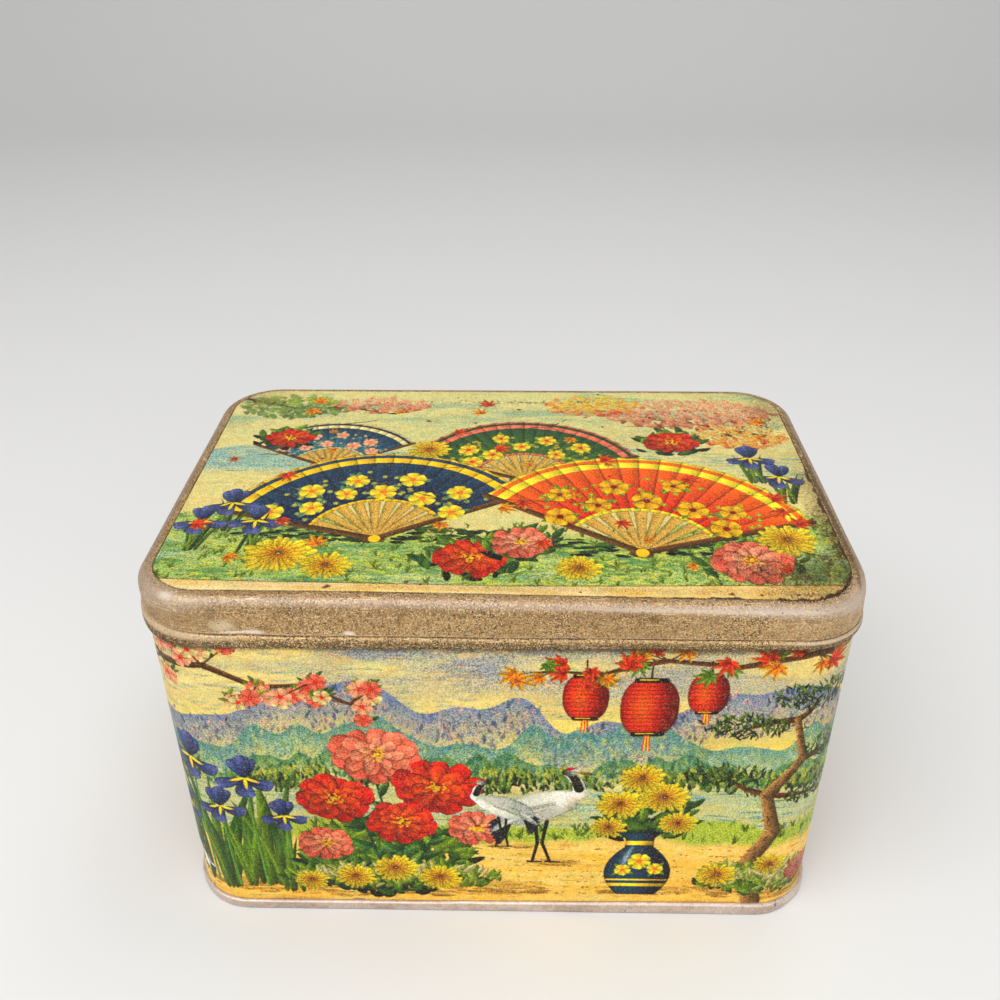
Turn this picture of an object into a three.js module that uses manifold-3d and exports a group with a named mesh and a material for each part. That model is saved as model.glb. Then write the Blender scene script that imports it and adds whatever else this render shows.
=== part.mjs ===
// A rectangular tinplate storage tin with rounded corners and a slip-on lid.
// Millimetres, +Z up. The origin is the middle of the foot and the front faces -Y.
//
// The whole tin follows one outline, the outer face of its wall, a rectangle with round corners.
// A piece is the section of its sheet, drawn as (out, z) points, carried once round that outline:
// out is the distance outside the outline, negative inside it.

import * as THREE from 'three';
import { mergeVertices } from 'three/addons/utils/BufferGeometryUtils.js';
import Module from 'manifold-3d';

// Driving dimensions

const bodyWidth = 200;
const bodyDepth = 130;
const overallHeight = 125;
const cornerRadius = 18.5;
const sheet = 0.32;
const foldGap = 0.05;

const seamHeight = 4.6;
const seamEdgeRadius = 0.3;
const panRecess = 3.6;

const hemHeight = 4;
const sideSeamWidth = 5;
const sideSeamInset = 12;
const sideSeamStop = 1;

const skirtHeight = 15.8;
const lidClearance = 0.7;
const seatGap = 0.3;
const shoulderRadius = 4.4;
const beadHeight = 4.6;
const beadProud = 0.45;
const grooveDepth = 0.14;
const grooveWidth = 0.9;
const ledgeWidth = 5;
const plateProud = 0.12;
const plateGap = 0.3;

// Fineness of the curves

const cornerFacets = 10;
const shoulderFacets = 7;
const beadFacets = 8;
const seamFacets = 3;

// Levels and offsets worked out from the sizes

const layer = sheet + foldGap;
const skirtOut = lidClearance + sheet;
const skirtBottom = overallHeight - skirtHeight;
const crown = overallHeight - plateProud;
const shoulderOut = skirtOut - shoulderRadius;
const shoulderFoot = crown - shoulderRadius;
const ledgeTop = overallHeight - sheet;
const ledgeUnderside = ledgeTop - sheet;
const undersideWidth = shoulderRadius - sheet;
const undersideHeight = ledgeUnderside - shoulderFoot;
const seamOut = 3 * layer;
const panTop = panRecess + sheet;
const rimTop = shoulderUnderside(0) - seatGap;

// Height of the shoulder's inner curve at a distance outside the outline: the wall's rim stops under it.
function shoulderUnderside(out) {
  const across = (out - shoulderOut) / undersideWidth;
  return shoulderFoot + undersideHeight * Math.sqrt(1 - across * across);
}

// Points along a part of an ellipse, both ends included
function arc(centreOut, centreZ, radiusOut, radiusZ, startAngle, endAngle, facets) {
  const curve = new THREE.EllipseCurve(
    centreOut, centreZ, radiusOut, radiusZ, startAngle, endAngle, endAngle < startAngle);
  return curve.getPoints(facets);
}

function point(out, z) {
  return new THREE.Vector2(out, z);
}

// Carries a section round the outline. A lathe turns it about the vertical axis at the corner radius,
// and each quarter of that ring is then moved out to its own corner, so the straight sides appear between
// the quarters. The columns of the lathe stand half a facet away from the axes, and lie outside the arc
// by just enough to keep the straight sides at their true distance.
function carryRound(section, startsAndEndsOnAxis = false) {
  const halfFacet = Math.PI / 4 / cornerFacets;
  const profile = section.map((p) => point((cornerRadius + p.x) / Math.cos(halfFacet), p.y));
  if (startsAndEndsOnAxis) {
    profile.unshift(point(0, section[0].y));
    profile.push(point(0, section[section.length - 1].y));
  } else {
    profile.push(profile[0].clone());
  }
  const ring = new THREE.LatheGeometry(profile, 4 * cornerFacets, halfFacet);
  ring.rotateX(Math.PI / 2);
  const places = ring.getAttribute('position');
  for (let i = 0; i < places.count; i += 1) {
    const x = places.getX(i);
    const y = places.getY(i);
    const onAxis = Math.hypot(x, y) < sheet;
    if (onAxis) {
      places.setXY(i, 0, 0);
    } else {
      places.setXY(
        i,
        x + Math.sign(x) * (bodyWidth / 2 - cornerRadius),
        y + Math.sign(y) * (bodyDepth / 2 - cornerRadius));
    }
  }
  return bareAndMerged(ring);
}

// Leaves only positions and joins the vertices that share a place
function bareAndMerged(geometry) {
  geometry.deleteAttribute('normal');
  geometry.deleteAttribute('uv');
  return mergeVertices(geometry, 1e-3);
}

// Joins two closed geometries into one
async function join(first, second) {
  const wasm = await Module();
  wasm.setup();
  const solids = [first, second].map((geometry) => new wasm.Manifold(new wasm.Mesh({
    numProp: 3,
    vertProperties: new Float32Array(geometry.getAttribute('position').array),
    triVerts: new Uint32Array(geometry.index.array),
  })));
  const mesh = solids[0].add(solids[1]).getMesh();
  const joined = new THREE.BufferGeometry();
  joined.setAttribute('position', new THREE.BufferAttribute(mesh.vertProperties, 3));
  joined.setIndex(new THREE.BufferAttribute(mesh.triVerts, 1));
  return joined;
}

// Body wall: hooked outwards at the foot, hemmed inwards at the rim

function wallSection() {
  const foot = layer;
  const hookOut = foldGap + layer + sheet;
  const hookTop = seamHeight - layer;
  return [
    point(hookOut, foot),
    point(hookOut, hookTop),
    point(hookOut - sheet, hookTop),
    point(hookOut - sheet, foot + sheet),
    point(0, foot + sheet),
    point(0, rimTop),
    point(-sheet - layer, rimTop),
    point(-sheet - layer, rimTop - hemHeight),
    point(-layer, rimTop - hemHeight),
    point(-layer, rimTop - sheet),
    point(-sheet, rimTop - sheet),
    point(-sheet, foot),
  ];
}

// The locked seam that closes the wall, folded flat on the inside of the back near its left end
function sideSeam() {
  const bottom = panTop + sideSeamStop;
  const top = rimTop - hemHeight - sideSeamStop;
  const rib = new THREE.Shape();
  rib.moveTo(-sideSeamWidth / 2, sheet / 2);
  rib.lineTo(sideSeamWidth / 2, sheet / 2);
  rib.lineTo(sideSeamWidth / 2, -sheet);
  rib.lineTo(sideSeamWidth / 2 - sheet, -2 * sheet);
  rib.lineTo(sheet - sideSeamWidth / 2, -2 * sheet);
  rib.lineTo(-sideSeamWidth / 2, -sheet);
  rib.closePath();
  const solid = new THREE.ExtrudeGeometry(rib, { depth: top - bottom, bevelEnabled: false });
  const seamX = sideSeamInset + cornerRadius - bodyWidth / 2;
  solid.translate(seamX, bodyDepth / 2 - sheet, bottom);
  return bareAndMerged(solid);
}

// Bottom pan: a recessed panel whose edge drops inside the wall, turns under it and rolls up outside it,
// with its last stretch tucked between the wall and the wall's hook

function panSection() {
  const innerOut = -sheet - layer;
  const hookBottom = 2 * layer + foldGap;
  return [
    point(innerOut, panRecess),
    point(innerOut, 0),
    ...arc(seamOut - seamEdgeRadius, seamEdgeRadius, seamEdgeRadius, seamEdgeRadius,
      -Math.PI / 2, 0, seamFacets),
    ...arc(seamOut - seamEdgeRadius, seamHeight - seamEdgeRadius, seamEdgeRadius, seamEdgeRadius,
      0, Math.PI / 2, seamFacets),
    point(foldGap, seamHeight),
    point(foldGap, hookBottom),
    point(layer, hookBottom),
    point(layer, seamHeight - sheet),
    point(seamOut - sheet, seamHeight - sheet),
    point(seamOut - sheet, sheet),
    point(-layer, sheet),
    point(-layer, panTop),
  ];
}

// Lid band: bead and groove at the skirt's foot, round shoulder above, ledge turned in for the top plate

function bandSection() {
  const beadTop = skirtBottom + beadHeight;
  const bead = arc(skirtOut, skirtBottom + beadHeight / 2, beadProud, beadHeight / 2,
    -Math.PI / 2, Math.PI / 2, beadFacets);
  return [
    point(lidClearance, skirtBottom),
    ...bead,
    point(skirtOut - grooveDepth, beadTop + grooveWidth / 2),
    point(skirtOut, beadTop + grooveWidth),
    ...arc(shoulderOut, shoulderFoot, shoulderRadius, shoulderRadius, 0, Math.PI / 2, shoulderFacets),
    point(shoulderOut, ledgeTop),
    point(shoulderOut - ledgeWidth, ledgeTop),
    point(shoulderOut - ledgeWidth, ledgeUnderside),
    ...arc(shoulderOut, shoulderFoot, undersideWidth, undersideHeight, Math.PI / 2, 0, shoulderFacets),
  ];
}

// Lid top plate: lies on the ledge, a hair above the crown of the shoulder

function plateSection() {
  const edge = shoulderOut - plateGap;
  return [
    point(edge, ledgeTop),
    point(edge, overallHeight),
  ];
}

// Materials

const printedMetal = { color: 0xb9a45a, roughness: 0.42, metalness: 0.25 };
const plainTin = { color: 0x8a7a68, roughness: 0.48, metalness: 0.8 };

function piece(name, geometry, finish) {
  const mesh = new THREE.Mesh(geometry, new THREE.MeshStandardMaterial(finish));
  mesh.name = name;
  return mesh;
}

const tin = new THREE.Group();
const body = new THREE.Group();
const lid = new THREE.Group();

body.add(piece('body_wall', await join(carryRound(wallSection()), sideSeam()), printedMetal));
body.add(piece('bottom_pan', carryRound(panSection(), true), plainTin));
lid.add(piece('lid_band', carryRound(bandSection()), plainTin));
lid.add(piece('lid_top_plate', carryRound(plateSection(), true), printedMetal));
tin.add(body, lid);

export default tin;
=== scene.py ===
"""Looks of a printed tinplate storage tin with a slip-on lid.

The tin follows one outline, the outer face of its wall. Its plain pieces are sections carried round that
outline, and its printed faces are thin sheets whose triangles are finest where the picture has detail.
Sizes and places are in millimetres, angles in degrees and shares from 0 to 1, unless a docstring says
otherwise. A mesh is written in metres. Distances along the outline are called s, and outside it, out.
"""

import logging
import math
from collections.abc import Callable
from dataclasses import dataclass, replace
from enum import Enum

import bpy
import numpy as np
from mathutils import Matrix, Vector

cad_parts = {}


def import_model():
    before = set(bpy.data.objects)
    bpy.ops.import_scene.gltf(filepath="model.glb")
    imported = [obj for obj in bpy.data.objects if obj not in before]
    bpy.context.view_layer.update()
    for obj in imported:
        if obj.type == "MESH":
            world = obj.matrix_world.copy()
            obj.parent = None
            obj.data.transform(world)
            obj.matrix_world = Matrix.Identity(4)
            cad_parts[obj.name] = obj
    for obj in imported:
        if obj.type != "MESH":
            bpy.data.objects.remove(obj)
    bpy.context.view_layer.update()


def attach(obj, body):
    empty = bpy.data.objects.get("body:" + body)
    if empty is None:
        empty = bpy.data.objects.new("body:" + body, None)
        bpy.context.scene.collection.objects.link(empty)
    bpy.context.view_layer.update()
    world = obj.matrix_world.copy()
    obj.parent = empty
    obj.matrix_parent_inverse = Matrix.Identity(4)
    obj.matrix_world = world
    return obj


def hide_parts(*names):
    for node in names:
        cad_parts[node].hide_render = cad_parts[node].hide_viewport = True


MM = 0.001
LOG = logging.getLogger("tin")

Array = np.ndarray
Material = bpy.types.Material
Socket = bpy.types.NodeSocket
Triple = tuple[float, float, float]
Ink = tuple[float, float, float]
Points = list[tuple[float, float]]


class Body(Enum):
    """The two bodies that the joint moves apart."""

    TIN = "tin"
    LID = "lid"


class Slot(Enum):
    """The material slots of the record."""

    PRINT = "printed_tinplate"
    TOP = "printed_top"
    PLAIN = "plain_tinplate"
    AGED = "aged_tinplate"


# Sizes


@dataclass(frozen=True)
class TinSizes:
    """Driving sizes of the tin.

    Attributes:
        width, depth, height: of the wall along X and Y, and of the whole tin.
        corner: radius of the wall's corners.
        sheet: thickness of the tinplate.
        rim, hem: height of the wall's rim, under the lid, and depth of the fold inside it.
        seam_height, seam_out: height of the rolled seam at the foot, and how far it stands outside the wall.
        pan_recess: height of the bottom panel over the foot.
        skirt_bottom, skirt_out: height of the lid's lower edge, and how far its skirt is outside the wall.
        bead_height, bead_proud: height of the skirt's bead, and how far it stands outside the skirt.
        groove: depth of the line above the bead.
        shoulder: radius of the lid's shoulder.
        ledge: width of the ledge under the top plate.
        plate_in: distance from the wall in to the top plate's edge.
        print_foot, print_rim: heights between which the wall is printed.
        seam_x: place of the lock seam on the back.
    """

    width: float = 200.0
    depth: float = 130.0
    height: float = 125.0
    corner: float = 18.5
    sheet: float = 0.32
    rim: float = 122.35
    hem: float = 4.0
    seam_height: float = 4.6
    seam_out: float = 1.11
    pan_recess: float = 3.6
    skirt_bottom: float = 109.2
    skirt_out: float = 1.02
    bead_height: float = 3.6
    bead_proud: float = 0.45
    groove: float = 0.3
    shoulder: float = 4.4
    ledge: float = 5.0
    plate_in: float = 3.68
    print_foot: float = 4.2
    print_rim: float = 121.6
    seam_x: float = -69.5

    @property
    def shoulder_out(self) -> float:
        """Distance outside the wall of the shoulder's centre."""
        return self.skirt_out - self.shoulder

    @property
    def shoulder_foot(self) -> float:
        """Height of the shoulder's centre."""
        return self.height - 0.12 - self.shoulder

    @property
    def plate(self) -> tuple[float, float]:
        """Width and depth of the top plate."""
        return self.width - 2 * self.plate_in, self.depth - 2 * self.plate_in


class Outline:
    """The rectangle with round corners that the wall's outer face follows.

    Distances along it start at the lock seam on the back and run anticlockwise from above.

    Args:
        sizes: of the tin.
    """

    def __init__(self, sizes: TinSizes) -> None:
        self.sizes = sizes
        half_x, half_y = sizes.width / 2 - sizes.corner, sizes.depth / 2 - sizes.corner
        self.half_x, self.half_y = half_x, half_y
        self.arc = sizes.corner * math.pi / 2
        self.ends = np.cumsum([
            0, sizes.seam_x + half_x, self.arc, 2 * half_y, self.arc, 2 * half_x, self.arc, 2 * half_y,
            self.arc, half_x - sizes.seam_x])
        self.length = float(self.ends[-1])

    def point(self, s: Array, out: Array) -> tuple[Array, Array]:
        """Return the x and y of points by their distances along the outline and outside it."""
        s = np.mod(s, self.length)
        stretch = np.clip(np.searchsorted(self.ends, s, side="right") - 1, 0, 8)
        along = s - self.ends[stretch]
        turned = np.array([90, 90, 180, 180, 270, 270, 360, 360, 450], float)[stretch]
        turned = np.radians(turned + np.where(stretch % 2 == 1, along / self.arc * 90, 0))
        reach = self.sizes.corner + out
        start_x = np.array([self.sizes.seam_x, -1, -1, -1, -1, 1, 1, 1, 1], float)
        start_x[1:] *= self.half_x
        start_y = np.array([1, 1, 1, -1, -1, -1, -1, 1, 1], float) * self.half_y
        step_x = np.array([-1, 0, 0, 0, 1, 0, 0, 0, -1], float)[stretch]
        step_y = np.array([0, 0, -1, 0, 0, 0, 1, 0, 0], float)[stretch]
        return (start_x[stretch] + step_x * along + np.cos(turned) * reach,
                start_y[stretch] + step_y * along + np.sin(turned) * reach)

    def locate(self, x: Array, y: Array) -> tuple[Array, Array]:
        """Return the distances of points along the outline and outside it."""
        dx, dy = x - np.clip(x, -self.half_x, self.half_x), y - np.clip(y, -self.half_y, self.half_y)
        turn = np.degrees(np.arctan2(dy, dx)) % 360
        e, hx, hy = self.ends, self.half_x, self.half_y
        quarter = np.select([turn < 90, turn < 180, turn < 270], [7, 1, 3], 5)
        start = np.select([turn < 90, turn < 180, turn < 270], [0, 90, 180], 270)
        s = e[quarter] + (turn - start) / 90 * self.arc
        flat_x, flat_y = np.abs(dx) <= 1e-6, np.abs(dy) <= 1e-6
        back = np.where(x <= self.sizes.seam_x, self.sizes.seam_x - x, e[8] + hx - x)
        s = np.where(flat_x, np.where(y > 0, back, e[4] + x + hx), s)
        s = np.where(flat_y & ~flat_x, np.where(x > 0, e[6] + y + hy, e[2] + hy - y), s)
        return s, np.hypot(dx, dy) - self.sizes.corner


# Dents and waves


@dataclass(frozen=True)
class Dent:
    """One knock in the sheet.

    Attributes:
        s, z: its place along the outline and its height.
        across, up: half its width and half its height.
        depth: how far in its middle stands.
        sharp: how square its profile is; 2 is round.
    """

    s: float
    z: float
    across: float
    up: float
    depth: float
    sharp: float = 2.0


@dataclass(frozen=True)
class Sag:
    """A part of the tin that has sunk or risen, as old tinplate has.

    Attributes:
        x, y: where it starts, and where it is whole.
        heights, lifts: heights on the sheet, and how far up each of them is moved.
    """

    x: tuple[float, float]
    y: tuple[float, float]
    heights: tuple[float, ...]
    lifts: tuple[float, ...]

    def shift(self, places: Array) -> Array:
        """Return how far up each place is moved."""
        share = 1.0
        for axis, (start, whole) in enumerate((self.x, self.y)):
            part = np.clip((places[..., axis] - start) / (whole - start), 0, 1)
            share = share * part * part * (3 - 2 * part)
        return share * np.interp(places[..., 2], self.heights, self.lifts)


LID_SAG = Sag((-60.0, 85.0), (-42.0, -60.0), (109.2, 113.3, 125.0), (1.2, 0.0, -1.6))
GROOVE_SAG = Sag((-70.0, -103.0), (60.0, -10.0), (109.2, 113.3, 120.5), (0.0, 2.5, 0.0))
FOOT_SAG = Sag((70.0, -50.0), (-20.0, -55.0), (1.5, 4.6, 10.0), (0.0, -1.1, 0.0))
RIM_SAG = Sag((-60.0, 85.0), (-42.0, -60.0), (109.2, 122.35), (0.0, -1.25))


@dataclass(frozen=True)
class Waves:
    """Slow waves in the sheet, as handling leaves them, and its dents.

    Attributes:
        outline: that they follow.
        dents: of the piece.
        low, high: heights at which the waves die out.
        swing: how far they move the sheet either way.
        seed: of the waves.
        sags: that move the sheet up and down.
    """

    outline: Outline
    dents: tuple[Dent, ...]
    low: float
    high: float
    swing: float
    seed: int
    sags: tuple[Sag, ...]

    def lift(self, places: Array) -> Array:
        """Return how far up each place of the sheet is moved."""
        return sum(sag.shift(places) for sag in self.sags)

    def shift(self, s: Array, z: Array) -> Array:
        """Return how far out each place of the sheet is moved."""
        random, length = np.random.default_rng(self.seed), self.outline.length
        total, count = np.zeros(np.shape(s)), 9
        for _ in range(count):
            turns = random.integers(3, 17)
            total += np.sin(2 * math.pi * turns * s / length + random.uniform(0, 6)
                            + z * random.uniform(-0.05, 0.05)) / count
        share = np.clip((z - self.low) / (self.high - self.low), 0, 1)
        total *= 1.9 * self.swing * np.sin(math.pi * share).clip(0) ** 0.7
        for dent in self.dents:
            gap = (s - dent.s + length / 2) % length - length / 2
            away = np.abs(gap / dent.across) ** dent.sharp + np.abs((z - dent.z) / dent.up) ** dent.sharp
            total -= dent.depth * np.exp(-1.6 * away)
        return total


# Meshes


def publish(piece: bpy.types.Object, body: Body, node: str) -> None:
    """Report a piece and tell the frame where it belongs.

    Args:
        piece: to place.
        body: that it rides on.
        node: of the solid model that it stands for.
    """
    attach(piece, body.value)
    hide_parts(node)
    piece.data.calc_loop_triangles()
    LOG.info("%s: %d triangles, on %s", piece.name, len(piece.data.loop_triangles), body.value)


def linked(name: str, data: bpy.types.ID) -> bpy.types.Object:
    """Return a new object of the scene that shows the given data."""
    thing = bpy.data.objects.new(name, data)
    bpy.context.scene.collection.objects.link(thing)
    return thing


def new_piece(name: str, places: Array, faces: Array, materials: list[Material],
              material_of: Array | None = None) -> bpy.types.Object:
    """Make a smooth mesh object from points and triangles.

    Args:
        name: of the piece.
        places: of its points.
        faces: indices of each triangle's points.
        materials: of the piece.
        material_of: index of each triangle's material.

    Returns:
        The object, at the origin.
    """
    mesh = bpy.data.meshes.new(name)
    mesh.vertices.add(len(places))
    mesh.vertices.foreach_set("co", (places * MM).astype(np.float32).ravel())
    mesh.loops.add(faces.size)
    mesh.loops.foreach_set("vertex_index", faces.astype(np.int32).ravel())
    mesh.polygons.add(len(faces))
    mesh.polygons.foreach_set("loop_start", np.arange(0, faces.size, 3, dtype=np.int32))
    mesh.update(calc_edges=True)
    mesh.polygons.foreach_set("use_smooth", np.ones(len(faces), bool))
    for material in materials:
        mesh.materials.append(material)
    if material_of is not None:
        mesh.polygons.foreach_set("material_index", material_of.astype(np.int32))
    mesh.update()
    return linked(name, mesh)


class FineSheet:
    """A thin closed sheet over a grid of points, with small triangles only where its face needs them.

    The grid is split in square tiles. A tile is two right triangles, and a triangle is halved at the middle
    of its long side for as long as the face there differs from what its ends say.

    Args:
        face, back: x, y and z of the grid's points on the front and on the back.
        ink: red, green, blue and bareness of the grid's points.
        budget: most triangles on the front.
    """

    TILE = 64

    def __init__(self, face: Array, back: Array, ink: Array, budget: int) -> None:
        self.rows, self.columns = face.shape[:2]
        self.face, self.back, self.ink = face, back, ink
        front = self._raised(self._own_errors(np.concatenate([ink, face * 3.0], axis=2)))
        self.limit = float(np.partition(front.ravel(), -budget // 2)[-budget // 2])
        rear = self._raised(self._own_errors(back * 3.0))
        changed = True
        while changed:
            for edge in (np.s_[0, :], np.s_[-1, :], np.s_[:, 0], np.s_[:, -1]):
                front[edge] = rear[edge] = np.maximum(front[edge], rear[edge])
            raised = self._raised(front), self._raised(rear)
            changed = any((new > old).any() for new, old in zip(raised, (front, rear)))
            front, rear = raised
        self.front_faces, self.back_faces = self._split(front), self._split(rear)

    def _own_errors(self, needs: Array) -> Array:
        """Return how far each point is from the mean of the ends of the side that it halves."""
        needs = needs.astype(np.float32)
        errors = np.zeros((self.rows, self.columns), np.float32)

        def gap(middle: Array, first: Array, second: Array) -> Array:
            """Return the largest difference of any value."""
            return np.abs(middle - (first + second) / 2).max(axis=2)

        s = 1
        while s < self.TILE:
            on, mid = slice(0, None, 2 * s), slice(s, None, 2 * s)
            low, high = slice(0, -1, 2 * s), slice(2 * s, None, 2 * s)
            errors[on, mid] = gap(needs[on, mid], needs[on, low], needs[on, high])
            errors[mid, on] = gap(needs[mid, on], needs[low, on], needs[high, on])
            rising = gap(needs[mid, mid], needs[low, low], needs[high, high])
            falling = gap(needs[mid, mid], needs[low, high], needs[high, low])
            errors[mid, mid] = np.where(np.indices(rising.shape).sum(axis=0) % 2 == 0, rising, falling)
            s *= 2
        return errors

    def _raised(self, own: Array) -> Array:
        """Return errors that are never smaller than those of the points that depend on them."""
        errors = own.copy()
        s = 1
        while s < self.TILE:
            mid, low, high = slice(s, None, 2 * s), slice(0, -1, 2 * s), slice(2 * s, None, 2 * s)
            cells = errors[mid, mid]
            for child in (errors[low, mid], errors[high, mid], errors[mid, low], errors[mid, high]):
                np.maximum(cells, child, out=cells)
            if 2 * s < self.TILE:
                flat, tall = errors[0::4 * s, 2 * s::4 * s], errors[2 * s::4 * s, 0::4 * s].T
                for line, near in ((flat, cells), (tall, cells.T)):
                    for side in (slice(0, None, 2), slice(1, None, 2)):
                        np.maximum(line[1:], near[1::2, side], out=line[1:])
                        np.maximum(line[:-1], near[0::2, side], out=line[:-1])
            s *= 2
        return errors

    def _split(self, errors: Array) -> Array:
        """Return triangles as grid indices, halved wherever an error is over the limit."""
        tile = self.TILE
        rows, columns = np.meshgrid(
            np.arange(0, self.rows - 1, tile), np.arange(0, self.columns - 1, tile), indexing="ij")
        j, i = rows.ravel(), columns.ravel()
        even = ((i // tile + j // tile) % 2 == 0)[:, None]
        c00, c10, c01, c11 = (np.stack([i + u, j + v], 1) for v in (0, tile) for u in (0, tile))
        a = np.concatenate([np.where(even, c11, c10), np.where(even, c00, c01)])
        b = np.concatenate([np.where(even, c00, c01), np.where(even, c11, c10)])
        c = np.concatenate([np.where(even, c10, c00), np.where(even, c01, c11)])
        done = []
        while len(a):
            total = a + b
            middle = total // 2
            whole = (total % 2 == 0).all(axis=1)
            cut = whole & (errors[middle[:, 1] * whole, middle[:, 0] * whole] > self.limit)
            done.append(np.stack([a[~cut], b[~cut], c[~cut]], 1))
            a, b, c, middle = a[cut], b[cut], c[cut], middle[cut]
            a, b, c = np.concatenate([c, b]), np.concatenate([a, c]), np.concatenate([middle, middle])
        corners = np.concatenate(done)
        return corners[..., 1] * self.columns + corners[..., 0]

    def _edge_ring(self) -> Array:
        """Return the used points of the grid's edge, anticlockwise, as grid indices."""
        used = np.zeros(self.rows * self.columns, bool)
        used[self.front_faces.ravel()] = True
        grid = np.arange(self.rows * self.columns).reshape(self.rows, self.columns)
        ring = np.concatenate([grid[0, :-1], grid[:-1, -1], grid[-1, :0:-1], grid[:0:-1, 0]])
        return ring[used[ring]]

    def build(self, name: str, front: Material, rear: Material) -> bpy.types.Object:
        """Make the piece, with its colours and its own UV map.

        Args:
            name: of the piece.
            front: material of its face.
            rear: material of its back and edges.

        Returns:
            The object.
        """
        ring = self._edge_ring()
        after, shift = np.roll(ring, -1), self.rows * self.columns
        rest = np.concatenate([
            self.back_faces[:, ::-1] + shift, np.stack([ring, ring + shift, after + shift], 1),
            np.stack([ring, after + shift, after], 1)])
        used, compact = np.unique(np.concatenate([self.front_faces, rest]), return_inverse=True)
        faces = compact.reshape(-1, 3)
        places = np.concatenate([self.face.reshape(-1, 3), self.back.reshape(-1, 3)])[used]
        kinds = np.repeat([0, 1], (len(self.front_faces), len(rest)))
        piece = new_piece(name, places, faces, [front, rear], kinds)
        ends = np.zeros(len(piece.data.edges) * 2, np.int32)
        piece.data.edges.foreach_get("vertices", ends)
        sharp = np.isin(used, np.concatenate([ring, ring + shift]))[ends].reshape(-1, 2).all(axis=1)
        piece.data.attributes.new("sharp_edge", "BOOLEAN", "EDGE").data.foreach_set("value", sharp)
        ink = np.tile(self.ink.reshape(-1, 4), (2, 1))[used].astype(np.float32)
        ink[:, :3] = np.where(ink[:, :3] <= 0.04045, ink[:, :3] / 12.92, ((ink[:, :3] + 0.055) / 1.055)
            ** 2.4)
        piece.data.attributes.new("ink", "FLOAT_COLOR", "POINT").data.foreach_set("color", ink.ravel())
        spot, corner = used % shift, faces.ravel()
        across = (spot % self.columns / (self.columns - 1))[corner]
        up = (spot // self.columns / (self.rows - 1))[corner]
        u = np.where(np.repeat(kinds, 3) > 0, 0.953 + across * 0.04, 0.006 + across * 0.935)
        uv = np.stack([u, 0.006 + up * 0.988], 1).astype(np.float32)
        piece.data.uv_layers.new(name="OFBake").data.foreach_set("uv", uv.ravel())
        return piece


# Sections carried round the outline


def rounded(corners: list[Triple], steps: int = 5) -> Array:
    """Round the corners of a closed section.

    Args:
        corners: distance outside the wall, height, and size of the rounding of each corner.
        steps: points on each rounding.

    Returns:
        The section's points.
    """
    points = []
    for k, (out, z, size) in enumerate(corners):
        here = np.array([out, z])
        if size <= 0:
            points.append(here)
            continue
        before, after = (np.array(corners[(k + d) % len(corners)][:2]) for d in (-1, 1))
        first, last = (here + (end - here) * min(size / max(np.linalg.norm(end - here), 1e-9), 0.5)
                       for end in (before, after))
        points += [(1 - t) ** 2 * first + 2 * t * (1 - t) * here + t * t * last for t
            in np.linspace(0, 1, steps)]
    return np.array(points)


def curve_points(centre: tuple[float, float], across: float, up: float, start: float, end: float,
                 steps: int) -> list[Triple]:
    """Return points on part of an ellipse, as section corners without rounding."""
    turns = np.radians(np.linspace(start, end, steps))
    return [(centre[0] + across * math.cos(t), centre[1] + up * math.sin(t), 0.0) for t in turns]


def divided(section: Array, longest: float) -> Array:
    """Return a closed section whose edges are no longer than given."""
    points = []
    for here, after in zip(section, np.roll(section, -1, axis=0)):
        count = max(1, math.ceil(float(np.linalg.norm(after - here)) / longest))
        points += [here + (after - here) * k / count for k in range(count)]
    return np.array(points)


def follow_waves(piece: bpy.types.Object, outline: Outline, waves: Waves) -> None:
    """Move a piece's points with the sheet that it lies on, and keep how far up each was moved.

    Args:
        piece: to move.
        outline: that the sheet follows.
        waves: of the sheet.
    """
    places = np.zeros(len(piece.data.vertices) * 3, np.float32)
    piece.data.vertices.foreach_get("co", places)
    places = places.reshape(-1, 3) / MM
    s, out = outline.locate(places[:, 0], places[:, 1])
    places[:, 0], places[:, 1] = outline.point(s, out + waves.shift(s, places[:, 2]))
    lift = waves.lift(places)
    places[:, 2] += lift
    attribute = piece.data.attributes.new("lift", "FLOAT", "POINT")
    attribute.data.foreach_set("value", (lift * MM).astype(np.float32))
    piece.data.vertices.foreach_set("co", (places * MM).astype(np.float32).ravel())
    piece.data.update()


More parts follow.
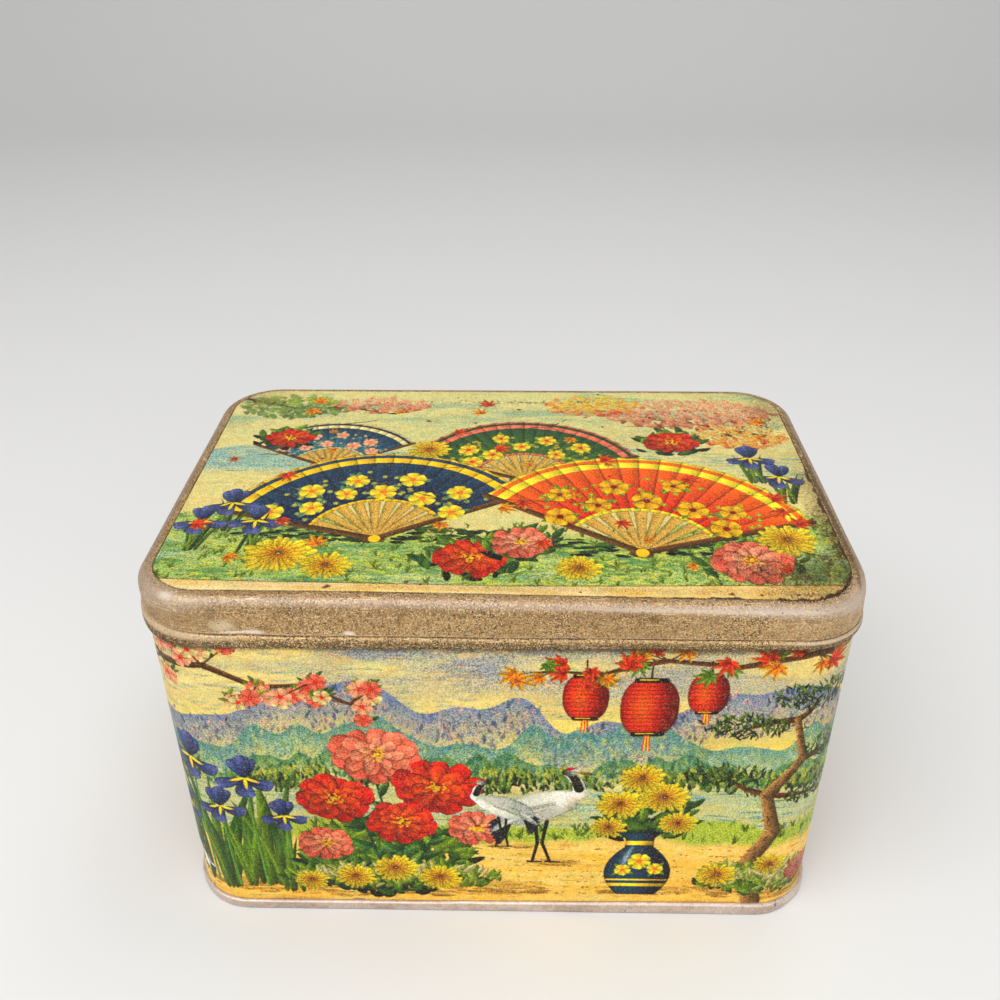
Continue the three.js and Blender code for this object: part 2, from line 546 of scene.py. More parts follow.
class Former:
    """A Geometry Nodes tree that makes pieces, each kept as a plain mesh.

    Args:
        name: of the tree.
        inputs: kind of each input, by its name.
        nodes: type of each node and its settings, by a word for the node. A setting with a capital or a
            digit first is the value of an input.
        links: one a line, from a node's output to a node's input. The tree's own inputs are the node given.
    """

    def __init__(self, name: str, inputs: dict[str, str], nodes: dict[str, tuple[str, dict[str, object]]],
                 links: str) -> None:
        self.tree = bpy.data.node_groups.new(name, "GeometryNodeTree")
        self.tree.interface.new_socket("Geometry", in_out="OUTPUT", socket_type="NodeSocketGeometry")
        for word, kind in inputs.items():
            self.tree.interface.new_socket(word, in_out="INPUT", socket_type=f"NodeSocket{kind}")
        made = {}
        for word, (kind, settings) in {
                "given": ("NodeGroupInput", {}), **nodes, "realize": ("GeometryNodeRealizeInstances", {}),
                "dress": ("GeometryNodeSetMaterial", {}), "result": ("NodeGroupOutput", {})}.items():
            made[word] = self.tree.nodes.new(kind)
            for key, value in settings.items():
                if key[0].islower():
                    setattr(made[word], key, value)
                else:
                    self.socket(made[word].inputs, key).default_value = value
        for line in (links + "realize.0 > dress.Geometry\ngiven.Finish > dress.Material\n"
                     "dress.0 > result.0").strip().splitlines():
            (start, output), (end, entry) = (side.strip().split(".") for side in line.split(">"))
            self.tree.links.new(self.socket(made[start].outputs, output),
                self.socket(made[end].inputs, entry))

    @staticmethod
    def socket(sockets: bpy.types.bpy_prop_collection, key: str) -> Socket:
        """Return a socket by its name or its number."""
        return sockets[int(key) if key.isdigit() else key]

    def build(self, name: str, values: dict[str, object]) -> bpy.types.Object:
        """Make one piece.

        Args:
            name: of the piece.
            values: for the tree's inputs, by their names.

        Returns:
            The piece, as a plain mesh.
        """
        piece = linked(name, bpy.data.meshes.new(name))
        modifier = piece.modifiers.new("Form", "NODES")
        modifier.node_group = self.tree
        for item in self.tree.interface.items_tree:
            if item.in_out == "INPUT":
                modifier[item.identifier] = values[item.name]
        piece.update_tag()
        bpy.context.view_layer.update()
        mesh = bpy.data.meshes.new_from_object(piece.evaluated_get(bpy.context.evaluated_depsgraph_get()))
        mesh.name = piece.name
        piece.modifiers.remove(modifier)
        piece.data = mesh
        return piece


class CarriedSection:
    """A closed section carried once round the outline.

    Args:
        outline: that it follows.
        spacing: between the sections.
    """

    def __init__(self, outline: Outline, spacing: float) -> None:
        self.outline = outline
        self.spacing = spacing
        self.former = Former("Section round the outline", {
            "Section": "Object", "Width": "Float", "Depth": "Float", "Corner Radius": "Float",
            "Spacing": "Float", "Finish": "Material"}, {
            "frame": ("GeometryNodeCurvePrimitiveQuadrilateral", {}),
            "corners": ("GeometryNodeFilletCurve", {"mode": "POLY", "Count": 48}),
            "space": ("GeometryNodeResampleCurve", {"mode": "LENGTH"}),
            "section": ("GeometryNodeObjectInfo", {}), "carry": ("GeometryNodeCurveToMesh", {}),
            "smooth": ("GeometryNodeSetShadeSmooth", {})}, """
            given.Width > frame.Width
            given.Depth > frame.Height
            frame.0 > corners.Curve
            given.Corner Radius > corners.Radius
            corners.0 > space.Curve
            given.Spacing > space.Length
            given.Section > section.Object
            space.0 > carry.Curve
            section.Geometry > carry.Profile Curve
            carry.0 > smooth.Geometry
            smooth.0 > realize.0
            """)

    def build(self, name: str, section: Array, waves: Waves, finish: Material) -> bpy.types.Object:
        """Carry one section round, then move it by the waves and dents of its sheet.

        Args:
            name: of the piece.
            section: distances outside the wall and heights.
            waves: that move the sheet.
            finish: material.

        Returns:
            The piece, as a plain mesh.
        """
        sizes = self.outline.sizes
        ahead = np.roll(section, -1, axis=0)
        if (section[:, 0] * ahead[:, 1] - ahead[:, 0] * section[:, 1]).sum() > 0:
            section = section[::-1]
        curve = bpy.data.curves.new(f"{name}_section", "CURVE")
        curve.dimensions = "3D"
        spline = curve.splines.new("POLY")
        spline.points.add(len(section) - 1)
        for point, (out, z) in zip(spline.points, section):
            point.co = (out * MM, -z * MM, 0, 1)
        spline.use_cyclic_u = True
        profile = linked(f"{name}_section", curve)
        piece = self.former.build(name, {
            "Section": profile, "Width": sizes.width * MM, "Depth": sizes.depth * MM,
            "Corner Radius": sizes.corner * MM, "Spacing": self.spacing * MM, "Finish": finish})
        bpy.data.objects.remove(profile)
        follow_waves(piece, self.outline, waves)
        return piece


class GritLine:
    """Grains of rust and dirt along a line round the tin.

    Args:
        outline: that the line follows.
    """

    def __init__(self, outline: Outline) -> None:
        self.outline = outline
        vector, scale = {"data_type": "FLOAT_VECTOR"}, {"operation": "SCALE"}
        self.former = Former("Grit along a line", {
            "Width": "Float", "Depth": "Float", "Corner Radius": "Float", "Height": "Float",
            "Spacing": "Float", "Spread": "Vector", "Grain": "Float", "Bare Share": "Float",
            "Heap Place": "Vector",
            "Heap Size": "Float", "Seed": "Int", "Finish": "Material"}, {
            "frame": ("GeometryNodeCurvePrimitiveQuadrilateral", {}),
            "corners": ("GeometryNodeFilletCurve", {"mode": "POLY", "Count": 32}),
            "level": ("ShaderNodeCombineXYZ", {}), "raise": ("GeometryNodeTransform", {}),
            "points": ("GeometryNodeCurveToPoints", {"mode": "LENGTH"}),
            "clump": ("ShaderNodeTexNoise", {"Scale": 90.0}), "place": ("GeometryNodeInputPosition", {}),
            "away": ("ShaderNodeVectorMath", {"operation": "DISTANCE"}),
            "heap": ("ShaderNodeMapRange", {"To Min": 0.5, "To Max": 0.0}),
            "fewer": ("ShaderNodeMath", {"operation": "SUBTRACT"}),
            "bare": ("FunctionNodeCompare", {"operation": "LESS_THAN"}),
            "clear": ("GeometryNodeDeleteGeometry", {"domain": "POINT"}),
            "less": ("ShaderNodeVectorMath", {**scale, "Scale": -1.0}),
            "shake": ("FunctionNodeRandomValue", vector),
            "shift": ("GeometryNodeSetPosition", {}),
            "grain": ("GeometryNodeMeshIcoSphere", {"Radius": 1.0}),
            "size": ("FunctionNodeRandomValue", {**vector, "0": (0.4, 0.4, 0.3), "1": (1.5, 1.5, 0.9)}),
            "scaled": ("ShaderNodeVectorMath", scale),
            "turn": ("FunctionNodeRandomValue", {**vector, "1": (0.6, 0.6, 6.28)}),
            "scatter": ("GeometryNodeInstanceOnPoints", {}),
            "smooth": ("GeometryNodeSetShadeSmooth", {})}, """
            given.Width > frame.Width
            given.Depth > frame.Height
            frame.0 > corners.Curve
            given.Corner Radius > corners.Radius
            corners.0 > raise.Geometry
            given.Height > level.Z
            level.0 > raise.Translation
            raise.0 > points.Curve
            given.Spacing > points.Length
            points.Points > clear.Geometry
            place.0 > away.0
            given.Heap Place > away.1
            away.Value > heap.Value
            given.Heap Size > heap.From Max
            given.Bare Share > fewer.0
            heap.0 > fewer.1
            clump.0 > bare.0
            fewer.0 > bare.1
            bare.0 > clear.Selection
            clear.0 > shift.Geometry
            given.Spread > less.0
            less.0 > shake.0
            given.Spread > shake.1
            given.Seed > shake.Seed
            shake.0 > shift.Offset
            shift.0 > scatter.Points
            grain.0 > scatter.Instance
            size.0 > scaled.0
            given.Grain > scaled.Scale
            given.Seed > size.Seed
            given.Seed > turn.Seed
            scaled.0 > scatter.Scale
            turn.0 > scatter.Rotation
            scatter.0 > smooth.0
            smooth.0 > realize.0
            """)

    def build(self, name: str, out: float, z: float, waves: Waves, finish: Material, spacing: float,
              spread: Triple, grain: float, bare: float, seed: int,
              heap_size: float = 0.01) -> bpy.types.Object:
        """Strew one line of grit.

        Args:
            name: of the piece.
            out, z: distance of the line outside the wall, and its height.
            waves: of the sheet that it lies on.
            finish: material.
            spacing: between grains.
            spread: of the grains from the line along X, Y and Z.
            grain: radius of a grain.
            bare: how much of the line stays clean, about 0.3 to 0.7.
            seed: of the random values.
            heap_size: how far from the lid's right front corner little of the line stays clean.

        Returns:
            The piece, as a plain mesh.
        """
        sizes = self.outline.sizes
        piece = self.former.build(name, {
            "Width": (sizes.width + 2 * out) * MM, "Depth": (sizes.depth + 2 * out) * MM,
            "Corner Radius": (sizes.corner + out) * MM, "Height": z * MM, "Spacing": spacing * MM,
            "Spread": tuple(v * MM for v in spread), "Grain": grain * MM, "Bare Share": bare, "Seed": seed,
            "Heap Place": tuple(v * MM for v in (88, -60, 124.7)), "Heap Size": heap_size * MM,
            "Finish": finish})
        follow_waves(piece, self.outline, waves)
        return piece


# Finishes


class Graph:
    """A material's node tree, built one socket at a time.

    Args:
        name: of the material.
    """

    def __init__(self, name: str) -> None:
        self.material = bpy.data.materials.new(name)
        self.material.use_nodes = True
        self.tree = self.material.node_tree
        self.shader = self.tree.nodes["Principled BSDF"]
        self.place = self.tree.nodes.new("ShaderNodeTexCoord").outputs["Object"]

    def put(self, socket: Socket, value: object) -> None:
        """Link or set one input."""
        if isinstance(value, bpy.types.NodeSocket):
            self.tree.links.new(value, socket)
        elif isinstance(value, tuple) and len(value) == 3 and len(socket.default_value) == 4:
            socket.default_value = (*value, 1.0)
        elif value is not None:
            socket.default_value = value

    def set(self, **values: object) -> None:
        """Link or set inputs of the shader, named with underscores for spaces."""
        for name, value in values.items():
            self.put(self.shader.inputs[name.replace("_", " ")], value)

    def node(self, kind: str, *values: object, **settings: object) -> bpy.types.Node:
        """Add a node.

        Args:
            kind: of node, without the word that all kinds start with.
            values: of its first inputs, each a socket or a number.
            settings: of the node itself.

        Returns:
            The node.
        """
        node = self.tree.nodes.new(f"ShaderNode{kind}")
        for name, setting in settings.items():
            setattr(node, name, setting)
        for socket, value in zip(node.inputs, values):
            self.put(socket, value)
        return node

    def math(self, operation: str, first: object, second: object = None) -> Socket:
        """Return the result of one sum."""
        return self.node("Math", first, second, operation=operation).outputs[0]

    def times(self, first: object, second: object) -> Socket:
        """Return one value times another."""
        return self.math("MULTIPLY", first, second)

    def vector(self, operation: str, first: object, second: object = None) -> Socket:
        """Return the result of one sum of vectors."""
        node = self.node("VectorMath", first, second, operation=operation)
        return node.outputs["Value" if operation == "LENGTH" else 0]

    def span(self, value: object, low: float, high: float, to_low: object = 0.0,
            to_high: object = 1.0) -> Socket:
        """Return a value moved from one range to another, smoothly and clamped."""
        return self.node("MapRange", value, low, high, to_low, to_high,
            interpolation_type="SMOOTHSTEP").outputs[0]

    def mix(self, share: object, first: object, second: object, kind: str = "MIX") -> Socket:
        """Return a colour between two."""
        node = self.node("Mix", data_type="RGBA", blend_type=kind)
        for index, value in ((0, share), (6, first), (7, second)):
            self.put(node.inputs[index], value)
        return node.outputs[2]

    def ink(self, share: object, colour: Socket, ink: Ink, kind: str = "MIX") -> Socket:
        """Return a colour with some of an ink, given as it is seen."""
        return self.mix(share, colour, seen(ink), kind)

    def noise(self, size: float, detail: float = 3.0, rough: float = 0.55, stretch: Triple = (1, 1, 1),
              turn: Triple = (0, 0, 0), twist: float = 0.0) -> Socket:
        """Return noise from 0 to 1 with lumps of about the given size.

        Args:
            size: of its lumps.
            detail, rough: octaves, and how strong the fine ones are.
            stretch: scale of the pattern along X, Y and Z.
            turn: of the pattern about X, Y and Z.
            twist: how much it is distorted.

        Returns:
            The noise.
        """
        place = self.node("Mapping", self.place)
        place.inputs["Scale"].default_value = stretch
        place.inputs["Rotation"].default_value = tuple(math.radians(a) for a in turn)
        node = self.node("TexNoise", place.outputs[0])
        for name, value in (("Scale", 1 / (size * MM)), ("Detail", detail), ("Roughness", rough),
                            ("Distortion", twist)):
            node.inputs[name].default_value = value
        return node.outputs[0]

    def scratches(self, kinds: tuple[tuple[float, Triple, Triple, Triple], ...], thin: float, lump: float,
                  bare: float, whole: float) -> Socket:
        """Return fine scratches that come in clumps.

        Args:
            kinds: size, stretch and turn of each kind's noise, and the turn of its clumps.
            thin: how wide they are, in shares of the noise.
            lump: size of a clump.
            bare, whole: noise at which a clump starts, and at which it is whole.

        Returns:
            How much of each place is scratched.
        """
        scratch = None
        for size, stretch, turn, patch in kinds:
            line = self.math("ABSOLUTE", self.math("SUBTRACT", self.noise(size, 1, 0.5, stretch, turn),
                0.5))
            clump = self.span(self.noise(lump, 1, 0.5, turn=patch), bare, whole)
            line = self.times(self.span(line, 0.0, thin, 1.0, 0.0), clump)
            scratch = line if scratch is None else self.math("MAXIMUM", scratch, line)
        return scratch

    def bump(self, height: object, depth: float) -> None:
        """Bend the shader's normal by a height from 0 to 1, as deep as given."""
        node = self.node("Bump")
        node.inputs["Strength"].default_value = 1.0
        node.inputs["Distance"].default_value = depth * MM
        self.put(node.inputs["Height"], height)
        self.put(self.shader.inputs["Normal"], node.outputs[0])


def mixed(first: Ink, second: Ink, share: float) -> Ink:
    """Return an ink between two others."""
    return tuple(a + (b - a) * share for a, b in zip(first, second))


def toned(ink: Ink, tone: float) -> Ink:
    """Return an ink made lighter or darker."""
    return tuple(tone * c for c in ink)


def seen(ink: Ink) -> Ink:
    """Return an ink as it is seen, in the linear light that shaders take."""
    return tuple(c / 12.92 if c <= 0.04045 else ((c + 0.055) / 1.055) ** 2.4 for c in ink)


@dataclass(frozen=True)
class PrintFinish:
    """Ink and varnish on tinplate, worn and specked with rust.

    Attributes:
        name: of the material.
        rust: how much of it is specked.
        grain: how strong the fine stipple of the print is.
        roughness: of the varnish.
        seed: turns the patterns, so that two faces differ.
    """

    name: str
    rust: float = 0.5
    grain: float = 0.58
    roughness: float = 0.42
    seed: float = 0.0

    def material(self) -> Material:
        """Build the material."""
        g = Graph(self.name)
        printed = g.node("Attribute", attribute_name="ink")
        ink, bare = printed.outputs["Color"], printed.outputs["Alpha"]
        a, b, c = turn = (self.seed * 31, self.seed * 17, self.seed * 53)
        stipple, blotch = g.noise(0.46, 2, 0.8, turn=turn), g.noise(2.4, 3, 0.6, turn=turn)
        light = g.vector("LENGTH", g.vector("MULTIPLY", ink, (0.5, 0.75, 0.2)))
        grain = g.span(stipple, 0.34, 0.66, g.span(light, 0.26, 0.62, 1 - 0.95 * self.grain, 1 - 0.32
            * self.grain),
                       g.span(light, 0.26, 0.62, 1 + 1.5 * self.grain, 1 + 0.36 * self.grain))
        grain = g.math("ADD", grain, g.span(blotch, 0.3, 0.7, -0.07, 0.07))
        colour = g.mix(1.0, ink, g.node("CombineColor", grain, grain, grain).outputs[0], "MULTIPLY")
        tint = g.noise(0.52, 2, 0.7, turn=(b, a, c))
        colour = g.ink(g.span(tint, 0.56, 0.70, 0.0, 0.26), colour, (0.86, 0.78, 0.54))
        colour = g.ink(g.span(tint, 0.27, 0.39, 0.45, 0.0), colour, (0.30, 0.28, 0.17))
        stain, shift = g.noise(34, 4, 0.6, turn=turn, twist=0.6), g.noise(8, 4, 0.65, turn=(c, b, a))
        colour = g.ink(g.span(stain, 0.50, 0.78, 0.0, 0.25), colour, (0.66, 0.52, 0.26), "MULTIPLY")
        colour = g.ink(g.span(shift, 0.52, 0.68, 0.0, 0.5), colour, (1.0, 0.93, 0.80), "MULTIPLY")
        colour = g.ink(g.span(shift, 0.32, 0.47, 0.5, 0.0), colour, (0.88, 0.96, 0.90), "MULTIPLY")
        clump = g.span(g.noise(17, 3, 0.6, turn=(c, a, b)), 0.40, 0.70, 0.15, 1.0)
        speck = g.span(g.noise(0.9, 3, 0.62, turn=turn), 0.69 - 0.05 * self.rust, 0.73 - 0.04 * self.rust)
        speck = g.times(speck, clump)
        cells = g.node("TexVoronoi", g.place)
        cells.inputs["Scale"].default_value = 1 / (4.2 * MM)
        number = g.node("SeparateColor", cells.outputs["Color"]).outputs[0]
        spot = g.math("LESS_THAN", cells.outputs["Distance"],
                      g.times(g.math("POWER", number, 7.0), 0.17 * self.rust + 0.02))
        colour = g.ink(g.times(speck, 0.7), colour, (0.34, 0.21, 0.11))
        colour = g.ink(g.times(spot, 0.85), colour, (0.27, 0.15, 0.08))
        scratch = g.scratches(tuple((size, (0.03, 1, 1), (angle * 0.3, 0, angle), (angle, a, 0))
                                    for angle, size in ((4, 1.3), (-21, 1.7), (58, 2.1))), 0.007, 26, 0.58,
                                    0.66)
        colour = g.ink(g.times(scratch, 0.55), colour, (0.42, 0.30, 0.17))
        metal = g.mix(g.noise(1.6, 4, 0.65), seen((0.36, 0.27, 0.19)), seen((0.86, 0.78, 0.69)))
        worn = g.span(g.math("ADD", bare, g.span(g.noise(0.9, 3, 0.6), 0.25, 0.75, -0.28, 0.28)), 0.42,
            0.58)
        colour = g.mix(worn, colour, metal)
        rusty = g.math("MAXIMUM", speck, spot)
        smooth = g.span(blotch, 0.3, 0.7, self.roughness - 0.06, self.roughness + 0.06)
        g.set(Base_Color=colour, Specular_IOR_Level=0.18, Metallic=g.times(worn, 0.7),
              Roughness=g.math("ADD", smooth, g.times(rusty, 0.3)))
        height = g.math("ADD", g.times(stipple, 0.5), g.times(rusty, 0.8))
        g.bump(g.math("SUBTRACT", height, g.math("ADD", scratch, worn)), 0.022)
        return g.material


@dataclass(frozen=True)
class Patch:
    """A place on metal with an ink of its own: a stain, a rubbed place, a painted highlight or painted
    shade.

    Attributes:
        place: of its middle.
        size: half its width, depth and height.
        strength: of its ink.
        ink: of the place.
        over: whether it lies over the metal's grains.
    """

    place: Triple
    size: Triple
    strength: float
    ink: Ink
    over: bool = False


def band(height: float, half: float, strength: float, ink: Ink, over: bool = False) -> Patch:
    """Return a patch that runs right round the tin."""
    return Patch((0.0, 0.0, height), (math.inf, math.inf, half), strength, ink, over)


@dataclass(frozen=True)
class MetalFinish:
    """Old tinplate with its lacquer gone brown, mottled, scratched and specked.

    Attributes:
        name: of the material.
        deep, middle, pale, ochre: inks of its dark grains, most of it, its rubbed places and its rust.
        specks: how strong its grains are.
        rubbed: how much of it is rubbed bright.
        metallic, roughness: of the shader.
        lump: size of its mottles.
        patches: stains, rubbed places, painted highlights and painted shade, which follow the sheet's lift.
    """

    name: str
    deep: Ink
    middle: Ink
    pale: Ink
    ochre: Ink
    specks: float = 0.4
    rubbed: float = 0.3
    metallic: float = 0.7
    roughness: float = 0.42
    lump: float = 3.0
    patches: tuple[Patch, ...] = ()

    def material(self) -> Material:
        """Build the material."""
        g = Graph(self.name)
        lift, up = g.node("Attribute", attribute_name="lift"), g.node("CombineXYZ")
        g.put(up.inputs[2], lift.outputs["Fac"])
        g.place = g.vector("SUBTRACT", g.place, up.outputs[0])
        mottle, fine, broad = g.noise(self.lump, 6, 0.72, twist=0.3), g.noise(0.45, 2, 0.8), g.noise(18, 4,
            0.6)
        colour = g.mix(g.span(mottle, 0.30, 0.58), seen(mixed(self.deep, self.middle, 0.6)),
            seen(self.middle))
        colour = g.ink(g.span(broad, 0.30, 0.52, 0.35, 0.0), colour, self.deep)
        rub = g.math("ADD", g.span(mottle, 0.45, 0.75, 0.0, 0.5), g.span(broad, 0.4, 0.7, 0.0, 0.5))
        colour = g.ink(g.times(rub, self.rubbed), colour, self.pale)
        colour, dull = self.lay(g, colour, fine, False)
        clump = g.span(g.noise(13, 4, 0.6, turn=(5, 61, 20)), 0.38, 0.62, 0.7, 1.0)
        dark = g.span(g.noise(0.62, 2, 0.8, turn=(33, 12, 71)), 0.40, 0.50, self.specks, 0.0)
        colour = g.ink(g.times(dark, clump), colour, self.deep)
        rust = g.span(g.noise(0.85, 3, 0.75, turn=(70, 40, 5)), 0.55, 0.64, 0.0, 0.8 * self.specks)
        colour = g.ink(rust, colour, self.ochre)
        light = g.times(g.span(fine, 0.54, 0.62, 0.0, 0.8 * self.specks), clump)
        colour, _ = self.lay(g, g.ink(light, colour, self.pale), fine, True)
        pit = g.span(g.noise(1.0, 3, 0.6, turn=(70, 10, 40)), 0.66, 0.72)
        colour = g.ink(g.times(pit, 0.8), colour, toned(self.deep, 0.5))
        scratch = g.scratches(tuple((size, stretch, turn, turn) for size, stretch, turn in (
            (0.9, (0.05, 0.05, 1), (2, 3, 0)), (1.2, (0.05, 0.05, 1), (-12, 9, 30)),
            (1.4, (1, 1, 0.07), (8, -14, 0)))), 0.011, 14, 0.50, 0.60)
        colour = g.ink(g.times(scratch, 0.6), colour, self.pale)
        dull = g.math("MAXIMUM", dull, g.math("MAXIMUM", g.times(rust, 0.6), pit))
        smooth = g.span(mottle, 0.3, 0.7, self.roughness + 0.08, self.roughness - 0.06)
        g.set(Base_Color=colour, Metallic=g.math("SUBTRACT", self.metallic,
            g.times(dull, self.metallic * 0.8)),
              Roughness=g.math("ADD", smooth, g.times(dull, 0.3)))
        height = g.math("ADD", g.times(mottle, 0.6), g.times(fine, 0.35))
        g.bump(g.math("SUBTRACT", height, g.times(g.math("MAXIMUM", pit, scratch), 0.4)), 0.05)
        return g.material

    def lay(self, g: Graph, colour: Socket, fine: Socket, over: bool) -> tuple[Socket, object]:
        """Lay the patches that lie over the grains, or those under them.

        Args:
            g: graph to add them to.
            colour: of the metal so far.
            fine: noise that roughens their edges.
            over: which of the two to lay.

        Returns:
            The colour with them, and how much of it they make dull.
        """
        dull: object = 0.0
        for patch in (p for p in self.patches if p.over == over):
            away = g.vector("SUBTRACT", g.place, toned(patch.place, MM))
            away = g.vector("MULTIPLY", away, tuple(1 / (size * MM) for size in patch.size))
            reach = g.math("ADD", g.vector("LENGTH", away), g.span(fine, 0.25, 0.75, -0.45, 0.45))
            share = g.span(reach, 0.45, 1.2, patch.strength, 0.0)
            colour = g.ink(share, colour, patch.ink)
            if max(patch.ink) < 0.5:
                dull = g.math("MAXIMUM", dull, share)
        return colour, dull


@dataclass(frozen=True)
class GritFinish:
    """Loose rust and dirt.

    Attributes:
        name: of the material.
        dark, light: inks of its dark and its light grains.
    """

    name: str
    dark: Ink
    light: Ink

    def material(self) -> Material:
        """Build the material."""
        g = Graph(self.name)
        g.set(Base_Color=g.mix(g.span(g.noise(0.6, 3, 0.6), 0.35, 0.65), seen(self.dark), seen(self.light)),
              Roughness=0.9)
        g.bump(g.noise(0.2, 3, 0.6), 0.05)
        return g.material


class Finishes:
    """Every finish of the tin, built once."""

    # Rust in the crease and along the hem; the same dark ink paints shade along the underside of the lid's
    # bead.
    RUST_AND_SHADE: Ink = (0.10, 0.07, 0.04)
    # A dark brown that darkens the groove over the bead, the seam's top and foot, a nick in the seam and the
    # wall inside near the foot.
    DARK_BROWN: Ink = (0.30, 0.20, 0.11)
    # The pale ink of painted highlights, and of the pale band along the rim inside.
    BRIGHT: Ink = (0.96, 0.91, 0.85)
    LID_PATCHES = (
        band(124.6, 0.35, 0.5, (0.60, 0.41, 0.18)), band(123.9, 0.9, 0.6, (0.60, 0.51, 0.43)),
        # Painted shade: a darker band on the skirt under the shoulder. Painted highlight: a pale line along
        # the top of the bead.
        band(121.9, 1.7, 0.42, (0.40, 0.30, 0.22)), band(112.4, 0.35, 0.4, (0.84, 0.73, 0.54)),
        # Darker ochre over most of the bead, and painted shade darkening its underside.
        band(110.5, 1.7, 0.9, (0.36, 0.26, 0.10)), band(109.3, 0.6, 0.95, RUST_AND_SHADE),
        # Darker along the groove over the bead.
        band(113.25, 0.22, 0.75, DARK_BROWN),
        Patch((5.0, -66.1, 118.0), (70.0, 4.0, 5.0), 0.22, (0.44, 0.32, 0.18)),
        # A thin line of rust in the crease, and a painted highlight along the shoulder's crown.
        band(124.97, 0.07, 0.9, RUST_AND_SHADE, True), band(123.6, 0.9, 0.34, (0.72, 0.65, 0.60), True),
        # Painted highlight: a bright line by the groove over the bead. The patches after it lie over the
        # grains.
        band(113.8, 0.2, 0.25, BRIGHT, True)) + tuple(Patch(*given, True) for given in (
            ((-88.0, -60.0, 118.0), (22.0, 14.0, 5.0), 0.45, (0.63, 0.50, 0.36)),
            # Painted highlight on the top of the bead round the left corner.
            ((-90.0, -60.0, 112.3), (21.0, 15.0, 1.0), 0.55, (0.93, 0.82, 0.68)),
            # Painted shade under the bead at the left corner.
            ((-84.0, -62.0, 109.7), (20.0, 9.0, 1.0), 0.75, (0.34, 0.25, 0.15)),
            # Painted highlight on the top of the bead round the right corner.
            ((90.0, -60.0, 112.3), (17.0, 14.0, 0.8), 0.6, (0.90, 0.83, 0.73)),
            # Painted highlight: a bright line along the shoulder.
            ((62.0, -64.6, 123.3), (44.0, 4.0, 0.6), 0.34, (0.93, 0.87, 0.80)),
            # Painted highlight on the shoulder at the right corner.
            ((97.0, -58.0, 122.2), (9.0, 12.0, 3.0), 0.5, (0.90, 0.82, 0.75)),
            ((97.5, -18.0, 124.8), (1.1, 66.0, 1.3), 0.75, (0.34, 0.25, 0.17)),
            ((88.0, -60.0, 118.0), (16.0, 14.0, 4.0), 0.35, (0.74, 0.61, 0.47)),
            # Painted highlight: a glint on the shoulder at the left corner.
            ((-88.6, -61.7, 123.8), (2.6, 2.2, 1.0), 0.6, (0.97, 0.94, 0.90)),
            # Painted highlight: the brightest part of the shoulder, right of the front.
            ((80.0, -62.5, 123.0), (24.0, 6.0, 1.8), 0.42, (0.80, 0.73, 0.68)),
            # Painted highlight on the shoulder round the left corner.
            ((-93.0, -58.0, 122.8), (16.0, 16.0, 3.2), 0.45, (0.80, 0.72, 0.64)),
            # Painted highlights where the dents in the skirt catch the light, in this patch and the next
            # three.
            ((-74.0, -66.1, 116.4), (3.6, 2.0, 2.2), 0.55, (0.92, 0.85, 0.70)),
            ((-69.5, -66.1, 114.2), (6.5, 2.4, 0.45), 0.8, BRIGHT),
            ((-66.0, -66.1, 114.5), (3.2, 2.4, 0.8), 0.95, BRIGHT),
            ((-40.1, -66.1, 114.4), (1.7, 2.4, 0.8), 0.9, BRIGHT)))
    SEAM_PATCHES = (
        # Darker at the seam's top and at its foot, and in a nick in the seam.
        band(4.9, 0.2, 0.3, DARK_BROWN), band(0.0, 0.5, 0.6, DARK_BROWN), Patch((88.6, -64.2, 3.4), (0.45, 2.0, 1.8),
            0.8, DARK_BROWN),
        # Painted highlights: a bright line along the top of the seam, and a bright facet on it at the right
        # front corner.
        band(4.2, 0.3, 0.4, BRIGHT, True), Patch((92.0, -58.0, 2.4), (6.0, 5.0, 3.0), 0.6, BRIGHT, True))
    INSIDE_PATCHES = (
        # Rust along the hem, darker near the foot inside, and a pale band along the top of the rim.
        band(118.2, 0.3, 0.6, RUST_AND_SHADE), band(4.2, 1.4, 0.7, DARK_BROWN), band(122.2, 0.3, 0.5, BRIGHT, True))

    def __init__(self) -> None:
        self.wall_print = PrintFinish("printed_wall", rust=0.35).material()
        self.lid_print = PrintFinish("printed_lid", rust=0.85, roughness=0.46, seed=1.0).material()
        self.patina = MetalFinish(
            "lid_patina", (0.24, 0.16, 0.09), (0.765, 0.605, 0.39), (0.97, 0.86, 0.64), (0.70, 0.48, 0.20),
            1.0, 0.28, 0.5, 0.46, patches=self.LID_PATCHES).material()
        self.seam = MetalFinish(
            "seam_steel", (0.58, 0.48, 0.42), (0.83, 0.75, 0.69), (0.94, 0.89, 0.85), (0.62, 0.48, 0.35),
            0.3, 0.6, 0.6, 0.44, 2.2, self.SEAM_PATCHES).material()
        self.inside = MetalFinish(
            "plain_inside", (0.56, 0.50, 0.40), (0.84, 0.80, 0.71), (0.94, 0.92, 0.87), (0.66, 0.50, 0.30),
            0.4, 0.7, 0.35, 0.46, 7.0, self.INSIDE_PATCHES).material()
        self.crust = GritFinish("crease_crust", (0.10, 0.06, 0.04), (0.30, 0.19, 0.11)).material()


# The print


